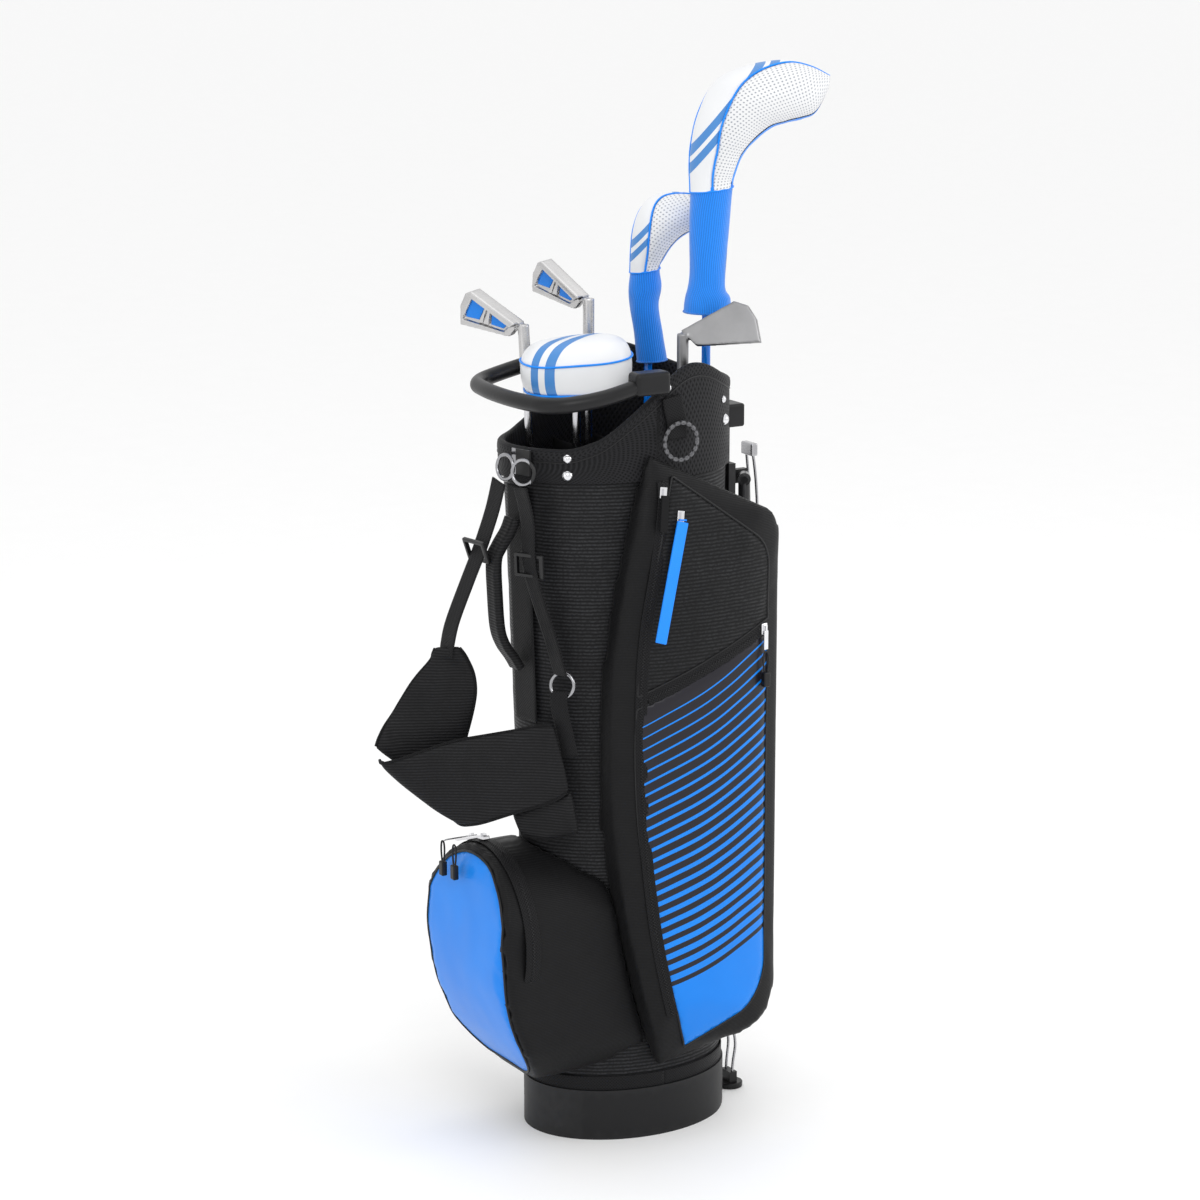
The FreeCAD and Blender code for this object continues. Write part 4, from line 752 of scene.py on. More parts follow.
# pouches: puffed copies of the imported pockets
pouches = {
    "ball_pocket": dict(name="ball_pouch", voxel=0.005, pressure=4.0, cap=0.004, grow=swellAlong(1, 0.15),
                        keep=lambda p: clamp((-0.150 - p.y) / 0.03)),
    "apparel_pocket": dict(name="side_pouch", voxel=0.006, pressure=4.0, cap=0.004, grow=swellAlong(0, 0.15),
                           keep=lambda p: clamp((p.x - 0.095) / 0.02)),
    "far_side_pocket": dict(name="far_pouch", voxel=0.006, pressure=4.0, cap=0.004, grow=swellAlong(0, 0.15),
                            keep=lambda p: clamp((-p.x - 0.095) / 0.02)),
}
pouchPieces = {}
for nodeName, values in pouches.items():
    name = values.pop("name")
    pouchPieces[nodeName] = softCopy(nodeName, name, pouchCloth, "bag", "pouch", shrink=0.0015, **values)
    print(name, "made")

# cuff: a moulded collar in mesh cloth, with a soft roll sewn round its rim
cuffShape = {"half": (101.0, 140.5), "centre": -14, "wall": 9.4, "low": 780.5, "roll": 15, "puff": 0.9,
             "rim": [(-155, 819), (-112, 819), (-80, 831), (14, 903), (34, 909), (58, 905), (109, 880),
                     (127, 878)]}


def rimHeight(y):
    rows = cuffShape["rim"]
    for (ya, za), (yb, zb) in zip(rows, rows[1:]):
        if y <= yb:
            return za + (zb - za) * clamp((y - ya) / (yb - ya))
    return rows[-1][1]


def softRim(y):
    # Rim height averaged over a few places near y, so that its corners are rounded.
    return sum(rimHeight(y + d) for d in (-9, -4, 0, 4, 9)) / 5


def cuffRings(count=200):
    halfX, halfY = cuffShape["half"]
    wall, low, roll = cuffShape["wall"], cuffShape["low"], cuffShape["roll"]
    rings = []
    for share, puff in ((0.0, 0.0), (0.25, 0.2), (0.5, 0.5), (0.75, 0.4), (0.96, 0.0), (1.0, -0.7)):
        rings.append((lambda rim, s=share: low + (rim - roll - low) * s, -puff * 0.4))
    for share, puff in ((0.08, 0.2), (0.3, 1.0), (0.55, 1.0)):
        rings.append((lambda rim, s=share: rim - roll + roll * s, -puff * cuffShape["puff"]))
    for turn in range(1, 8):
        a = math.pi * turn / 8
        inset = wall / 2 * (1 - math.cos(a)) - cuffShape["puff"] * max(0, 1 - turn / 4)
        rings.append((lambda rim, s=math.sin(a): rim - 4.8 + 4.6 * s, inset))
    for share in (0.85, 0.6, 0.3, 0.0):
        rings.append((lambda rim, s=share: low + (rim - 6 - low) * s, wall))
    out = []
    for height, inset in rings:
        ring = []
        for k in range(count):
            a = 2 * math.pi * k / count
            y = cuffShape["centre"] + halfY * math.sin(a)
            rim = softRim(y)
            soft = 0.5 * noise.noise(Vector((math.cos(a) * 3, math.sin(a) * 3, height(rim) * 0.03)))
            inward = inset + max(soft, -0.2) * (1 if inset < 6 else 0)
            ring.append(Vector(((halfX - inward) * math.cos(a),
                                cuffShape["centre"] + (halfY - inward) * math.sin(a), height(rim))) * mm)
        out.append(ring)
    return out


mouthCuff = ringLoft("mouth_cuff", cuffRings(), meshCloth, "bag", capEnds=False)
mouthCuff.data.update()
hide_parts("top_cuff")
halfX, halfY = cuffShape["half"]
rollSeam, seamCount, seamProud = [], 120, 0.1
for k in range(seamCount):
    a = 2 * math.pi * k / seamCount
    rim = softRim(cuffShape["centre"] + halfY * math.sin(a))
    rollSeam.append(Vector(((halfX + seamProud) * math.cos(a),
                            cuffShape["centre"] + (halfY + seamProud) * math.sin(a),
                            rim - cuffShape["roll"])) * mm)
curvePiece("cuff_roll_seam", rollSeam, 0.0009, pipingCord, "bag", cyclic=True)
softCopy("club_divider", "club_dividers", liningCloth, "bag", "moulded", voxel=0.0042, pressure=3.0, cap=0.0012,
         shrink=0.0006)
print("cuff and dividers made")

# shoulder pads: three stuffed leaves, each a row of centres with half widths, in millimetres
pads = {"thick": 13, "pressure": 3.0, "cap": 0.0035,
        "back": [((-12, -224, 592), (7, 12, 1)), ((-14, -222, 576), (10, 19, 2)),
                 ((-17, -227, 552), (16, 32, 3)), ((-22, -236, 520), (21, 41, 5)),
                 ((-25, -250, 478), (20, 42, -14)), ((-26, -262, 440), (20, 40, -34))],
        "front": [((-20, -274, 436), (15, 30, -28)), ((-4, -266, 430), (12, 34, -38)),
                  ((16, -232, 436), (5, 14, -50)), ((46, -186, 450), (6, 5, -48)),
                  ((70, -150, 462), (6, 5, -44)), ((86, -128, 472), (6, 6, -38))],
        "lower": [((38, -164, 388), (2, 4, -12)), ((62, -146, 390), (2, 4, -18)),
                  ((92, -118, 408), (2, 4, -24))]}


def padLeaf(name, rows, thick, along=26, across=14):
    # Closed stuffed strip with rounded edges between rows of centre and half width.
    centres = [Vector(c) for c, _ in rows]
    halves = [Vector(h) for _, h in rows]
    steps = max(1, round(along / (len(rows) - 1)))
    line, wide = smoothPath(centres, steps), smoothPath(halves, steps)
    profile = []
    for k in range(across + 1):
        a = -math.cos(math.pi * k / across)
        profile.append((a, (1 - abs(a) ** 4) ** 0.5))
    loopRow = [(a, t) for a, t in profile] + [(a, -t) for a, t in reversed(profile[1:-1])]
    rings = []
    last = len(line) - 1
    for i, centre in enumerate(line):
        direction = (line[min(i + 1, last)] - line[max(i - 1, 0)]).normalized()
        out = direction.cross(wide[i]).normalized()
        end = min(i, last - i) / 3
        depth = thick / 2 * clamp(math.sqrt(clamp(end + 0.06)), 0.1, 1.0)
        squeeze = 0.97 + 0.03 * clamp(end)
        rings.append([(centre + wide[i] * (a * squeeze) + out * (depth * t)) * mm for a, t in loopRow])
    piece = ringLoft(name, rings, padCloth, "bag")
    return piece, rings, len(profile)


def puff(piece, pressure, cap):
    # A short pressure run on a closed piece, with every point held to a small move.
    start = [v.co.copy() for v in piece.data.vertices]
    pressureRun(piece, pressure, frames=16, tension=12, compression=15, bending=0.3)
    for vertex, place in zip(piece.data.vertices, start):
        vertex.co = place + cappedMove(vertex.co - place, cap)


for leaf in ("back", "front", "lower"):
    pad, rings, half = padLeaf("pad_" + leaf, pads[leaf], pads["thick"])
    puff(pad, pads["pressure"], pads["cap"])
    count = len(rings[0])
    edges = {word: [pad.data.vertices[i * count + column].co.copy() for i in range(1, len(rings) - 1)]
             for word, column in (("upper", half - 1), ("lower", 0))}
    subdivide(pad)
    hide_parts("shoulder_pads")
    for word, line in edges.items():
        curvePiece(f"pad_{leaf}_{word}_binding", line, 0.0018, webbing, "bag")
print("shoulder pads made")


def outlineOf(nodeName, flat):
    # Outer outline of a packed panel in the two axes of flat, in metres.
    points = [Vector((v.co[flat[0]], v.co[flat[1]])) for v in nodes[nodeName].data.vertices]
    hull = [points[i] for i in geometry.convex_hull_2d(points)]
    if sum(a.x * b.y - a.y * b.x for a, b in zip(hull, hull[1:] + hull[:1])) < 0:
        hull.reverse()
    return hull


def evenOutline(hull, step):
    line = []
    for a, b in zip(hull, hull[1:] + hull[:1]):
        count = max(1, round((b - a).length / step))
        line += [a + (b - a) * (i / count) for i in range(count)]
    out = [line[0]]
    for p in line[1:]:
        if (p - out[-1]).length > step * 0.35:
            out.append(p)
    return out


def distanceInside(point, outline):
    best = 1.0
    for a, b in zip(outline, outline[1:] + outline[:1]):
        span = b - a
        t = clamp((point - a).dot(span) / max(span.length_squared, 1e-12))
        best = min(best, (point - a - span * t).length)
    return best


drape = {"edge": 0.0006, "proud": 0.0022, "step": 0.005, "thick": 0.0016, "roll": 0.012, "reach": 0.4,
         "evenings": 8}


def drapedPanel(nodeName, name, over, flat, direction, material):
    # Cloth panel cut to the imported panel's outline and laid on the puffed pocket; returns its rim.
    edge, proud, step, reach = drape["edge"], drape["proud"], drape["step"], drape["reach"]
    hull = outlineOf(nodeName, flat)
    rim = evenOutline(hull, step)
    low = Vector((min(p.x for p in rim), min(p.y for p in rim)))
    high = Vector((max(p.x for p in rim), max(p.y for p in rim)))
    points = list(rim)
    inner = []
    y = low.y + step
    row = 0
    while y < high.y:
        x = low.x + step * (0.5 if row % 2 else 1.0)
        while x < high.x:
            p = Vector((x, y))
            crossing = False
            for a, b in zip(rim, rim[1:] + rim[:1]):
                if (a.y > p.y) != (b.y > p.y) and p.x < (b.x - a.x) * (p.y - a.y) / (b.y - a.y) + a.x:
                    crossing = not crossing
            if crossing and distanceInside(p, hull) > step * 0.55:
                inner.append(p)
            x += step
        y += step * 0.87
        row += 1
    points += inner
    edges = [(i, (i + 1) % len(rim)) for i in range(len(rim))]
    verts, _, faces, _, _, _ = geometry.delaunay_2d_cdt(points, edges, [], 1, 1e-7)
    tree = treeOf(over)
    places, uvs = [], []
    ray = Vector(direction)
    for v in verts:
        start = Vector((0, 0, 0))
        start[flat[0]], start[flat[1]] = v.x, v.y
        start -= ray * reach
        hit = tree.ray_cast(start, ray)[0]
        if hit is None:
            hit = start + ray * reach
        inside = clamp(distanceInside(v, hull) / drape["roll"])
        lift = edge + (proud - edge) * math.sin(inside * math.pi / 2)
        lift += 0.0006 * noise.noise(Vector((v.x * 30, v.y * 30, 3.0))) * inside
        places.append(hit - ray * lift)
        uvs.append((v.x, v.y))
    depth = [abs(d) for d in direction].index(1)
    for _ in range(drape["evenings"]):
        levels = [places[i][depth] for i in range(len(rim))]
        for i in range(len(rim)):
            places[i][depth] = (levels[i - 1] + 2 * levels[i] + levels[(i + 1) % len(rim)]) / 4
    faces = [tuple(f) for f in faces]
    a, b, c = (places[i] for i in faces[0][:3])
    if (b - a).cross(c - a).dot(ray) > 0:
        faces = [tuple(reversed(f)) for f in faces]
    piece = meshPiece(name, places, faces, material, "bag", uvs)
    solid = piece.modifiers.new("thickness", "SOLIDIFY")
    solid.thickness = drape["thick"]
    solid.offset = -1
    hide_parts(nodeName)
    return places[:len(rim)]


panels = {
    "ball_panel": ("ball_pocket_panel", "ball_pocket", (0, 2), (0, 1, 0), blueCloth, "front_panel", 0.0016),
    "striped_panel": ("striped_panel", "apparel_pocket", (1, 2), (-1, 0, 0), stripedPanel, "stripe_panel",
                      0.0013),
    "upper_panel": ("upper_panel", "apparel_pocket", (1, 2), (-1, 0, 0), panelCloth, "upper_panel", 0.0013),
}
rims = {name: drapedPanel(node, name + "_cloth", pouchPieces[over], flat, ray, material)
        for name, (node, over, flat, ray, material, slotName, _) in panels.items()}
for name, rim in rims.items():
    curvePiece(name + "_piping", rim, panels[name][-1], pipingCord, "bag", cyclic=True)
print("pocket panels laid")

# zip chains: two rows of teeth on a tape
zips = {"tooth": (1.5, 1.1, 1.2), "pitch": 2.0, "stagger": 0.0007, "tape": 0.0008}


def zipChain(name, path, outward, width):
    # Teeth along a path with its outward direction at each point, and the woven tape under them.
    line = smoothPath(path, 10)
    outs = smoothPath(outward, 10)
    verts, faces = [], []
    travelled, due = 0.0, 0.0
    turn = 0
    for i in range(1, len(line)):
        step = line[i] - line[i - 1]
        length = step.length
        if length == 0:
            continue
        along = step / length
        while due <= travelled + length:
            t = (due - travelled) / length
            place = line[i - 1] + step * t
            out = (outs[i - 1].lerp(outs[i], t)).normalized()
            across = along.cross(out).normalized()
            shift = zips["stagger"] if turn % 2 else -zips["stagger"]
            turn += 1
            centre = place + across * shift + out * 0.0004
            base = len(verts)
            a, b, c = (v * mm * 0.5 for v in zips["tooth"])
            for sa, sb, sc in ((-1, -1, -1), (1, -1, -1), (1, 1, -1), (-1, 1, -1),
                               (-.7, -.8, 1), (.7, -.8, 1), (.7, .8, 1), (-.7, .8, 1)):
                verts.append(centre + across * (a * sa * 1.4) + along * (b * sb) + out * (c * sc))
            faces += [tuple(base + k for k in f) for f in (
                (3, 2, 1, 0), (4, 5, 6, 7), (0, 1, 5, 4), (1, 2, 6, 5), (2, 3, 7, 6), (3, 0, 4, 7))]
            due += zips["pitch"] * mm
        travelled += length
    meshPiece(name + "_teeth", verts, faces, mouldedBlack, "bag", None, smooth=False)
    acrossAt = []
    for i in range(len(path)):
        along = (path[min(i + 1, len(path) - 1)] - path[max(i - 1, 0)]).normalized()
        acrossAt.append(along.cross(outward[i]).normalized())
    return strapPiece(name + "_tape", path, acrossAt, width, zips["tape"], webbing, "bag", 10)


arch = {"z": 252.866, "radius": 104.4, "y": -179.0, "width": 0.019}
archPath, archOut = [], []
for degrees in (-118, -100, -80, -60, -40, -20, 0, 20, 40, 60, 80, 100, 118):
    a = math.radians(degrees)
    archOut.append(Vector((math.sin(a), 0, math.cos(a))))
    archPath.append((Vector((0, arch["y"], arch["z"])) + archOut[-1] * arch["radius"]) * mm)
zipChain("ball_zip", archPath, archOut, arch["width"])


def onPouch(side, y, z, lift):
    # Point on a side pocket at y, z, in millimetres, and its outward direction; side is 1 or -1.
    hit, normal, _, _ = sideTrees[side].ray_cast(Vector((0.4 * side, y * mm, z * mm)), Vector((-side, 0, 0)))
    if hit is None:
        hit, normal = Vector((0.118 * side, y * mm, z * mm)), Vector((side, 0, 0))
    return hit + normal * lift, normal


sideTrees = {1: treeOf(pouchPieces["apparel_pocket"]), -1: treeOf(pouchPieces["far_side_pocket"])}
frontEdge = [(-20, 782), (-23, 752), (-34, 690), (-45, 622), (-50, 560), (-51, 500), (-49, 420), (-43, 340),
             (-33, 260), (-22, 200), (-13, 160)]
sideZips = {
    "long_zip": (1, frontEdge),
    "diagonal_zip": (1, [(-44, 537), (-10, 551), (40, 572), (84, 590), (113, 602)]),
    "far_zip": (-1, frontEdge),
}
for name, (side, rows) in sideZips.items():
    found = [onPouch(side, y, z, 0.0016) for y, z in rows]
    zipChain(name, [p for p, _ in found], [n for _, n in found], 0.014)
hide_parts("zip_tapes")
farSeam = [(-4, 112), (-34, 240), (-58, 400), (-64, 500), (-58, 600), (-40, 700), (-20, 782), (30, 762),
           (110, 724), (124, 712), (128, 690), (128, 560), (128, 400), (128, 200), (116, 160), (88, 134),
           (40, 122)]
curvePiece("far_pouch_piping", [onPouch(-1, y, z, 0.0004)[0] for y, z in farSeam], 0.0014, pipingCord, "bag",
           cyclic=True)
print("zips made")

# spine webbing and the padded hand grip on the front
spine = {"x": 14, "width": 42, "thick": 1.8, "low": 500, "high": 772, "step": 17, "sink": 1.0}
handGrip = {"width": 24, "thick": 10, "rows": [(-149, 564), (-156, 576), (-167, 592), (-174, 612), (-177, 650),
                                               (-178, 690), (-171, 706), (-160, 722), (-154, 736)]}


def tubeFront(x, z):
    # Depth of the tube's front face at x and z.
    halfY, halfX, centre = tubeAt(z)
    return centre - halfY * math.sqrt(max(0.0, 1 - (x / halfX) ** 2))


spineRows = [(spine["x"], tubeFront(spine["x"], z) - spine["sink"], z)
             for z in range(spine["low"], spine["high"] + 1, spine["step"])]
spineBand = strapPiece("spine_webbing", scaled(spineRows), [Vector((1, 0.1, 0))] * len(spineRows),
                       spine["width"] * mm, spine["thick"] * mm, webbing, "bag", 3)
gripRows = [(spine["x"], y, z) for y, z in handGrip["rows"]]
gripBow = strapPiece("hand_grip", scaled(gripRows), [Vector((1, 0, 0))] * len(gripRows), handGrip["width"] * mm,
                     handGrip["thick"] * mm, padCloth, "bag", 6)
for piece in (spineBand, gripBow):
    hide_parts("trunk_handle")

# shoulder straps: webbing from the rings through the adjusters to the pads
straps = {"width": 26, "thick": 2.2, "lowerWidth": 24,
          "left": [(14, -171, 780), (6, -176, 744), (-2, -188, 700), (-4, -203, 664), (-6, -220, 622),
                   (-12, -224, 594), (-13, -225, 580)],
          "right": [(49, -163, 777), (54, -157, 740), (56, -156, 690), (62, -148, 650), (70, -136, 604),
                    (74, -130, 576), (75, -127, 564)],
          "lower": [(74, -129, 546), (77, -130, 528), (82, -126, 500), (87, -122, 472)]}
for word, width, slant in (("left", "width", 0.12), ("right", "width", 0.12), ("lower", "lowerWidth", 0.45)):
    rows = straps[word]
    strap = strapPiece("strap_" + word, scaled(rows), [Vector((1, slant, 0))] * len(rows), straps[width] * mm,
                       straps["thick"] * mm, webbing, "bag", 8)
    if word != "lower":
        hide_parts("strap_webbing")
print("straps made")

# towel loop: a round of cord on a webbing tab
towel = {"centre": (110.6, 8, 824), "radius": 21, "cord": 2.4, "flat": 1.2, "sides": 56, "round": 10,
         "tabWidth": 26, "tabThick": 3.0,
         "tab": [(103.6, 0, 874), (103.8, 2, 862), (103.8, 6, 846), (103.8, 7, 826)]}
towelRings = []
for i in range(towel["sides"] + 1):
    a = 2 * math.pi * i / towel["sides"]
    section = []
    for k in range(towel["round"]):
        b = 2 * math.pi * k / towel["round"]
        reach = towel["radius"] + towel["cord"] * math.sin(b)
        offset = Vector((towel["flat"] * math.cos(b), reach * math.cos(a), reach * math.sin(a)))
        section.append((Vector(towel["centre"]) + offset) * mm)
    towelRings.append(section)
towelRing = ringLoft("towel_ring_cord", towelRings, towelCord, "bag", capEnds=False)
towelTab = strapPiece("towel_tab", scaled(towel["tab"]), [Vector((0, 1, 0))] * len(towel["tab"]),
                      towel["tabWidth"] * mm, towel["tabThick"] * mm, webbing, "bag", 6)
for piece in (towelRing, towelTab):
    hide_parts("towel_loop")

# base band: webbing sewn round the tube just above the moulded base
baseBand = {"half": (91.4, 122.4), "z": 68, "width": 18, "thick": 1.6, "sides": 48}
bandRows = []
for k in range(baseBand["sides"] + 1):
    a = 2 * math.pi * k / baseBand["sides"]
    bandRows.append((baseBand["half"][0] * math.cos(a), baseBand["half"][1] * math.sin(a), baseBand["z"]))
strapPiece("base_band", scaled(bandRows), [Vector((0, 0, 1))] * len(bandRows), baseBand["width"] * mm,
           baseBand["thick"] * mm, webbing, "bag", 3)

# head covers: a knitted neck and a padded head of sewn panels, each section two points of the side view and a
# half thickness, all measured from where the club stands in the bag
clubStand = 7
covers = {
    "driver": {
        "place": (42, 82), "toe": 60, "neckRow": 4,
        "sections": [(-26, 948, 28, 948, 24), (-24, 965, 27, 964, 23), (-19, 990, 21, 979, 19),
                     (-20, 1041, 24, 1030, 21), (-19, 1084, 29, 1090, 24), (-20, 1114, 32, 1105, 29),
                     (-18, 1140, 40, 1125, 37), (-10, 1173, 54, 1142, 45), (9, 1207, 72, 1156, 49),
                     (41, 1223, 90, 1162, 49), (84, 1230, 107, 1166, 44), (114, 1224, 121, 1173, 34),
                     (136, 1213, 133, 1196, 15)],
        "frontSeam": [90, 90, 92, 104, 116, 140, 166, 180, 180],
        "farSeam": [173, 174, 177, 184, 196, 210, 222, 225, 225],
    },
    "fairway": {
        "place": (-46, 58), "toe": 60, "neckRow": 4,
        "sections": [(-13, 880, 22, 882, 15), (-16, 909, 17, 912, 16), (-21, 944, 12, 946, 18),
                     (-23, 964, 15, 967, 19), (-21, 984, 13, 989, 20), (-20, 1010, 18, 1000, 25),
                     (-17, 1035, 28, 1015, 33), (-8, 1058, 41, 1027, 38), (8, 1072, 54, 1033, 38),
                     (30, 1075, 68, 1035, 33), (59, 1072, 77, 1040, 24), (73, 1066, 80, 1050, 11)],
        "frontSeam": [90, 92, 104, 124, 150, 172, 180, 180],
        "farSeam": [173, 175, 182, 194, 208, 222, 225, 225],
    },
}


def splineAt(rows, t):
    # Smooth value between rows of numbers at the place t along them.
    last = len(rows) - 1
    i = min(int(t), last - 1)
    f = t - i
    a, b = rows[max(i - 1, 0)], rows[i]
    c, d = rows[i + 1], rows[min(i + 2, last)]
    out = []
    for p, q, r, s in zip(a, b, c, d):
        out.append(0.5 * (2 * q + (r - p) * f + (2 * p - 5 * q + 4 * r - s) * f * f
                          + (3 * q - p - 3 * r + s) * f ** 3))
    return out


def coverPoint(club, t, degrees, grow=0.0):
    values = covers[club]
    ux, uz, lx, lz, half = splineAt(values["sections"], t)
    a = math.radians(degrees)
    flat = math.cos(a) * 0.5
    x, z = (ux + lx) / 2 + (lx - ux) * flat, (uz + lz) / 2 + (lz - uz) * flat
    span = math.hypot(lx - ux, lz - uz)
    x += (lx - ux) / span * math.cos(a) * grow
    z += (lz - uz) / span * math.cos(a) * grow
    y = -(half + grow) * math.sin(a)
    toe = math.radians(values["toe"])
    px, py = values["place"]
    return Vector((px + x * math.cos(toe) - y * math.sin(toe), py + x * math.sin(toe) + y * math.cos(toe),
                   z + clubStand)) * mm


def seamAt(club, word, t):
    row = clamp(t - covers[club]["neckRow"], 0, len(covers[club][word]) - 1)
    return splineAt([(v,) for v in covers[club][word]], row)[0]


def patch(name, club, rows, low, high, columns, material, lift, steps=8, tuck=0.0016):
    # One cloth panel of a cover between two seams; its edges are tucked in under the piping.
    start, end = rows
    count = max(2, int((end - start) * steps))
    verts, uvs, faces = [], [], []
    run = 0.0
    for i in range(count + 1):
        t = start + (end - start) * i / count
        a, b = low(t), high(t)
        around = 0.0
        previous = None
        for k in range(columns + 1):
            s = k / columns
            edge = min(s, 1 - s) * abs(b - a)
            puff = lift * clamp(edge / 16) - tuck * (1 - clamp(edge / 5))
            wrinkle = 0.0005 * noise.noise(Vector((t * 1.4, (a + (b - a) * s) / 28, 5.0)))
            place = coverPoint(club, t, a + (b - a) * s, (puff + wrinkle) / mm)
            if previous is not None:
                around += (place - previous).length
            previous = place
            verts.append(place)
            uvs.append((around, run))
        if i < count:
            run += (coverPoint(club, start + (end - start) * (i + 1) / count, 90)
                    - coverPoint(club, t, 90)).length
    for i in range(count):
        for k in range(columns):
            q = i * (columns + 1) + k
            faces.append((q, q + columns + 1, q + columns + 2, q + 1))
    return meshPiece(name, verts, faces, material, club + "_club", uvs)


def paintLeather(tree, shader, masks):
    # White leather, blue wherever one of the masks is 1.
    mask = masks[0]
    for other in masks[1:]:
        mask = addMath(tree, "MAXIMUM", mask, other)
    grain = placeGroup(tree, surfaceGrain, Scale=800.0, Patch=14.0)
    white = mixColour(tree, grain.outputs["Patches"], (0.70, 0.71, 0.73), (0.80, 0.81, 0.82))
    tree.links.new(mixColour(tree, mask, white, (0.05, 0.22, 0.55)), shader.inputs["Base Color"])
    tree.links.new(rangeMap(tree, grain.outputs["Patches"], 0.35, 0.5), shader.inputs["Roughness"])
    addBump(tree, shader, grain.outputs["Height"], 0.15, 0.0003)


def lineAlong(tree, axes, turn):
    # Distance from the origin along the level direction at turn, in radians.
    return addMath(tree, "ADD", addMath(tree, "MULTIPLY", axes[0], math.cos(turn)),
                   addMath(tree, "MULTIPLY", axes[1], math.sin(turn)))


def stripedLeather(name, club, lines):
    # White leather with slanting printed bands, each a strip round a line of the cover's side view.
    material, tree, shader = startMaterial(name, 0.42, coat=0.12)
    toe = math.radians(covers[club]["toe"])
    px, py = covers[club]["place"]
    axes = separate(tree, objectPlace(tree))
    zero = (px * math.cos(toe) + py * math.sin(toe)) * mm
    along = addMath(tree, "SUBTRACT", lineAlong(tree, axes, toe), zero)
    masks = []
    for height, slope, half in lines:
        level = addMath(tree, "ADD", addMath(tree, "MULTIPLY", along, slope), height)
        off = addMath(tree, "ABSOLUTE", addMath(tree, "SUBTRACT", axes[2], level))
        masks.append(addMath(tree, "LESS_THAN", off, half))
    paintLeather(tree, shader, masks)
    return material


# height where each band starts, its slope and its half width
bandLines = {"driver": [(1.162, 1.25, 0.0062), (1.143, 1.25, 0.0062)],
             "fairway": [(1.047, 1.15, 0.0045), (1.032, 1.15, 0.0045)]}
for club in ("driver", "fairway"):
    neck = covers[club]["neckRow"]
    last = len(covers[club]["sections"]) - 1
    leather = stripedLeather(club + "Leather", club, bandLines[club])
    front = lambda t, c=club: seamAt(c, "frontSeam", t)
    far = lambda t, c=club: seamAt(c, "farSeam", t)
    sock = patch(club + "_sock", club, (0, neck + 0.15), lambda t: 0, lambda t: 360, 90, blueKnit, 0.0, 8, 0.0)
    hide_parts(club + "_cover")
    patch(club + "_side_panel", club, (neck, last), lambda t: 27, front, 44, perforatedWhite, 0.0012)
    patch(club + "_crown_panel", club, (neck, last), front, far, 30, leather, 0.0012)
    patch(club + "_far_panel", club, (neck, last), far, lambda t: 341, 44, perforatedWhite, 0.0012)
    patch(club + "_trim", club, (neck, last), lambda t: -20, lambda t: 28, 12, blueTrim, 0.0, 8, -0.0004)
    # closed nose
    rings = []
    for shrink in (1.0, 0.96, 0.8, 0.5, 0.15):
        ux, uz, lx, lz, half = covers[club]["sections"][last]
        base = [coverPoint(club, last, d) for d in range(0, 360, 12)]
        centre = sum(base, Vector()) / len(base)
        push = (coverPoint(club, last, 90) - coverPoint(club, last - 0.2, 90)).normalized()
        rings.append([centre + (p - centre) * shrink + push * (0.0025 * (1 - shrink)) for p in base])
    ringLoft(club + "_nose", rings, blueTrim, club + "_club", capEnds=True)
    for word, seam in (("front", front), ("far", far)):
        line = [coverPoint(club, neck + (last - neck) * i / 40, seam(neck + (last - neck) * i / 40), 0.2)
                for i in range(41)]
        curvePiece(f"{club}_{word}_piping", line, 0.0011, blueTrim, club + "_club")
    rim = [coverPoint(club, neck, d, 0.3) for d in range(0, 360, 10)]
    curvePiece(club + "_neck_piping", rim, 0.0012, blueTrim, club + "_club", cyclic=True)
    cuffRim = [coverPoint(club, 0.05, d, 0.0) for d in range(0, 360, 10)]
    curvePiece(club + "_cuff_rim", cuffRim, 0.0010, blueKnit, club + "_club", cyclic=True)
print("wood covers made")


# irons and wedge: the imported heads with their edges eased
for nodeName, name, material, body in (
        ("iron_long_head", "iron_long_cast", castIron, "iron_long"),
        ("iron_mid_head", "iron_mid_cast", castIron, "iron_mid"),
        ("wedge_head", "wedge_cast", darkWedge, "wedge_club")):
    finishCopy(voxelCopy(nodeName, name, 0.0011, 6), material, body, nodeName)

# blue cavity plates with silver ribs in the two irons, laid out along the sole in millimetres
irons = {
    "iron_long": {"low": (-45, -26, 7), "rim": (-45, -22, 860), "toe": 197, "length": 968, "lie": 61, "loft": 8,
                  "toeHigh": 50, "long": 78},
    "iron_mid": {"low": (-30, -62, 7), "rim": (-52, -98, 860), "toe": 205, "length": 944, "lie": 62, "loft": 8,
                 "toeHigh": 52, "long": 78},
}


def ironPlace(values, s, t, y):
    # World place of a point s along the sole, t up from it and y out of the cavity.
    turn = math.radians(90 - values["lie"])
    along, up = Vector((math.cos(turn), 0, math.sin(turn))), Vector((-math.sin(turn), 0, math.cos(turn)))
    local = along * s + up * t + Vector((0, y, 0))
    local = Matrix.Rotation(math.radians(-values["loft"]), 3, along) @ local
    local += Vector((0, 0, values["length"]))
    low, rim = Vector(values["low"]), Vector(values["rim"])
    lean = Vector((0, 0, 1)).rotation_difference(rim - low).to_matrix()
    return (low + lean @ (Matrix.Rotation(math.radians(values["toe"]), 3, "Z") @ local)) * mm


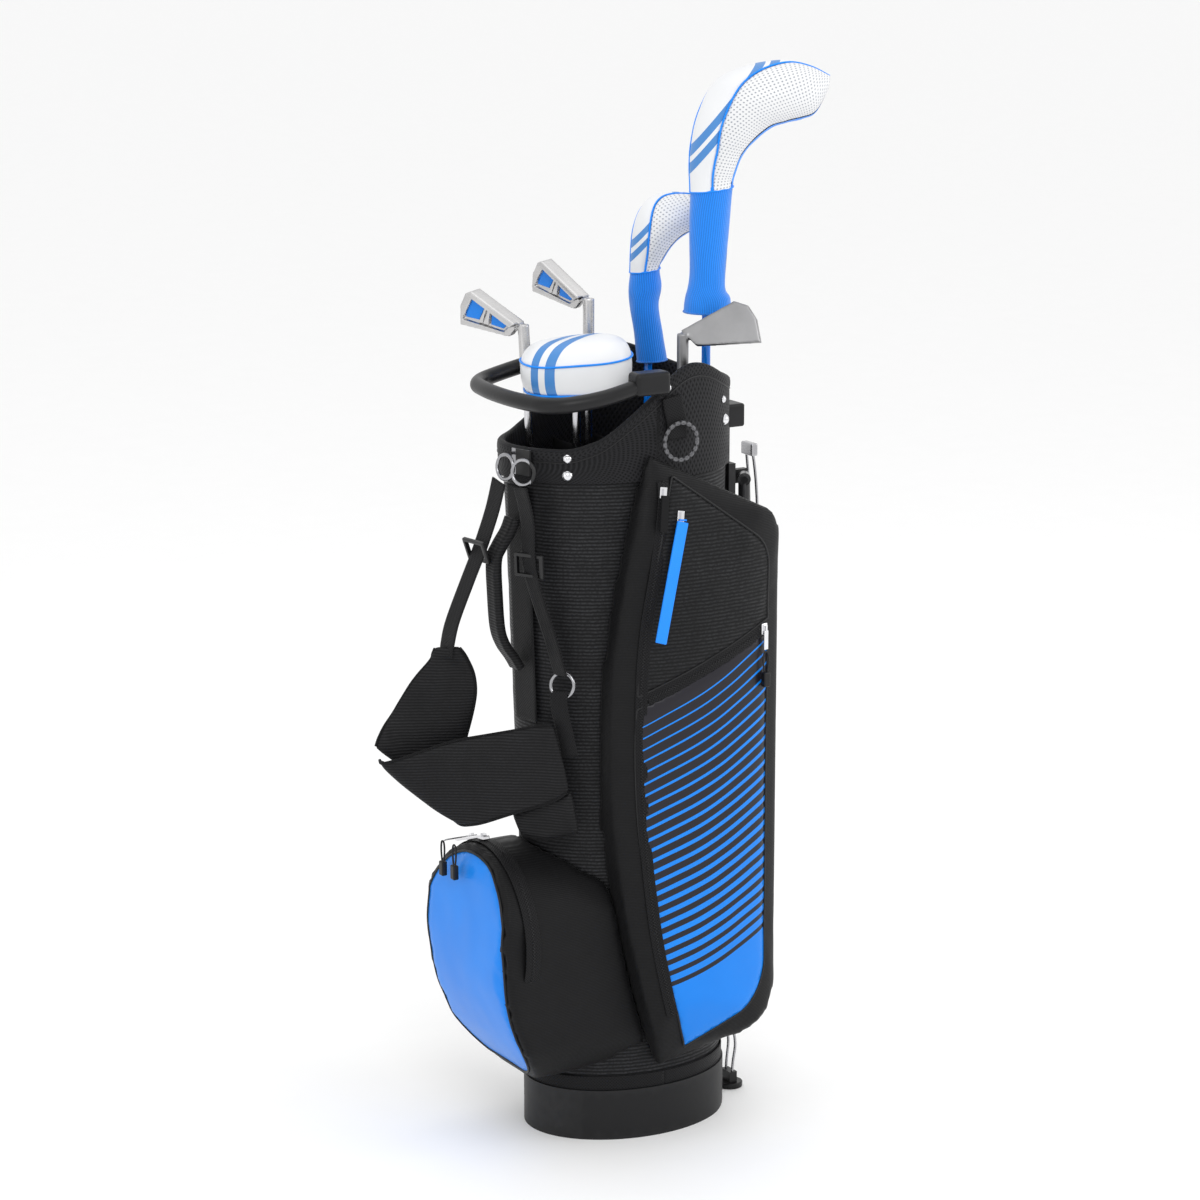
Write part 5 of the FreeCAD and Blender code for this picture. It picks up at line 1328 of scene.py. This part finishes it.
def ironPlate(club, name, outline, base, top, material, ease=1.2):
    # Raised plate on the cavity floor with a sloping edge.
    values = irons[club]
    middle = Vector((sum(p[0] for p in outline) / len(outline), sum(p[1] for p in outline) / len(outline)))
    points = [Vector(p) for p in outline]
    fine = []
    for a, b in zip(points, points[1:] + points[:1]):
        fine += [a.lerp(b, k / 6) for k in range(6)]
    rings = []
    for inset, y in ((0.0, base), (0.1, top - 0.5), (ease * 0.4, top - 0.12), (ease, top)):
        ring = []
        for p in fine:
            q = p + (middle - p).normalized() * inset
            ring.append(ironPlace(values, q.x, q.y, y))
        rings.append(ring)
    return ringLoft(f"{club}_{name}", rings, material, club)


for club, values in irons.items():
    long, high = values["long"], values["toeHigh"]
    ironPlate(club, "plate_toe", [(long * 0.62, -9), (long - 13, -8), (long - 8, -14), (long - 8, -high + 12),
                                  (long * 0.66, -high + 19)], 5.0, 6.4, blueCloth)
    ironPlate(club, "plate_heel", [(10, -10), (long * 0.50, -9), (long * 0.44, -29), (17, -24)], 5.0, 6.4,
              blueCloth)
    ironPlate(club, "rib_near", [(long * 0.50 + 1, -8), (long * 0.55, -8), (long * 0.56, -33),
                                 (long * 0.47, -30)], 5.0, 8.2, castIron, 0.8)
    ironPlate(club, "rib_far", [(long * 0.57 + 1, -8), (long * 0.61, -8), (long * 0.65, -36),
                                (long * 0.58, -34)], 5.0, 7.4, castIron, 0.8)
print("iron cavities made")

# putter cover: padded white box with two bands across
putterShape = {"centre": (10, -69.3), "turn": 68, "half": (62.5, 48.5), "tilt": 0.08, "round": 2.7,
               "bandTurn": 22, "bandHalf": 0.0052, "bands": (-0.028, -0.010),
               "inner": [(892, 0.9), (880, 0.88)], "innerShare": 0.93,
               "rows": [(872.8, 0.84), (873.6, 0.90), (878, 0.95), (887, 0.99), (898, 1.0), (908, 0.995),
                        (917, 0.965), (924, 0.90), (929, 0.80),
                        (932, 0.66), (933.6, 0.48), (934.2, 0.28), (934.4, 0.1)]}


def putterRing(level, share, count=96):
    halfLong, halfWide = putterShape["half"]
    turn = math.radians(putterShape["turn"])
    cx, cy = putterShape["centre"]
    ring = []
    for k in range(count):
        a = 2 * math.pi * k / count
        power = 2 / putterShape["round"]
        u = halfLong * share * math.copysign(abs(math.cos(a)) ** power, math.cos(a))
        v = halfWide * share * math.copysign(abs(math.sin(a)) ** power, math.sin(a))
        lift = putterShape["tilt"] * u * clamp((level - 880) / 40)
        lift -= 7 * clamp((level - 905) / 20) * abs(v / halfWide) ** 2 * (1 if v < 0 else 0.6)
        soft = 0.5 * noise.noise(Vector((u * 0.03, v * 0.03, level * 0.04)))
        ring.append(Vector((cx + u * math.cos(turn) - v * math.sin(turn),
                            cy + u * math.sin(turn) + v * math.cos(turn), level + lift + soft)) * mm)
    return ring


def putterLeather():
    # White leather with two bands across the cover.
    material, tree, shader = startMaterial("putterLeather", 0.42, coat=0.12)
    along = lineAlong(tree, separate(tree, objectPlace(tree)), math.radians(putterShape["bandTurn"]))
    masks = [addMath(tree, "LESS_THAN", addMath(tree, "ABSOLUTE", addMath(tree, "SUBTRACT", along, place)),
                     putterShape["bandHalf"]) for place in putterShape["bands"]]
    paintLeather(tree, shader, masks)
    return material


putterRings = [putterRing(z, share * putterShape["innerShare"]) for z, share in putterShape["inner"]]
putterRings += [putterRing(z, share) for z, share in putterShape["rows"]]
putterCover = ringLoft("putter_padded", putterRings, putterLeather(), "putter_club")
subdivide(putterCover)
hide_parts("putter_cover")
for word, ring in (("top", putterRing(911, 1.002)), ("hem", putterRing(874, 0.93))):
    curvePiece(f"putter_{word}_piping", ring, 0.0012, blueTrim, "putter_club", cyclic=True)
print("club heads made")
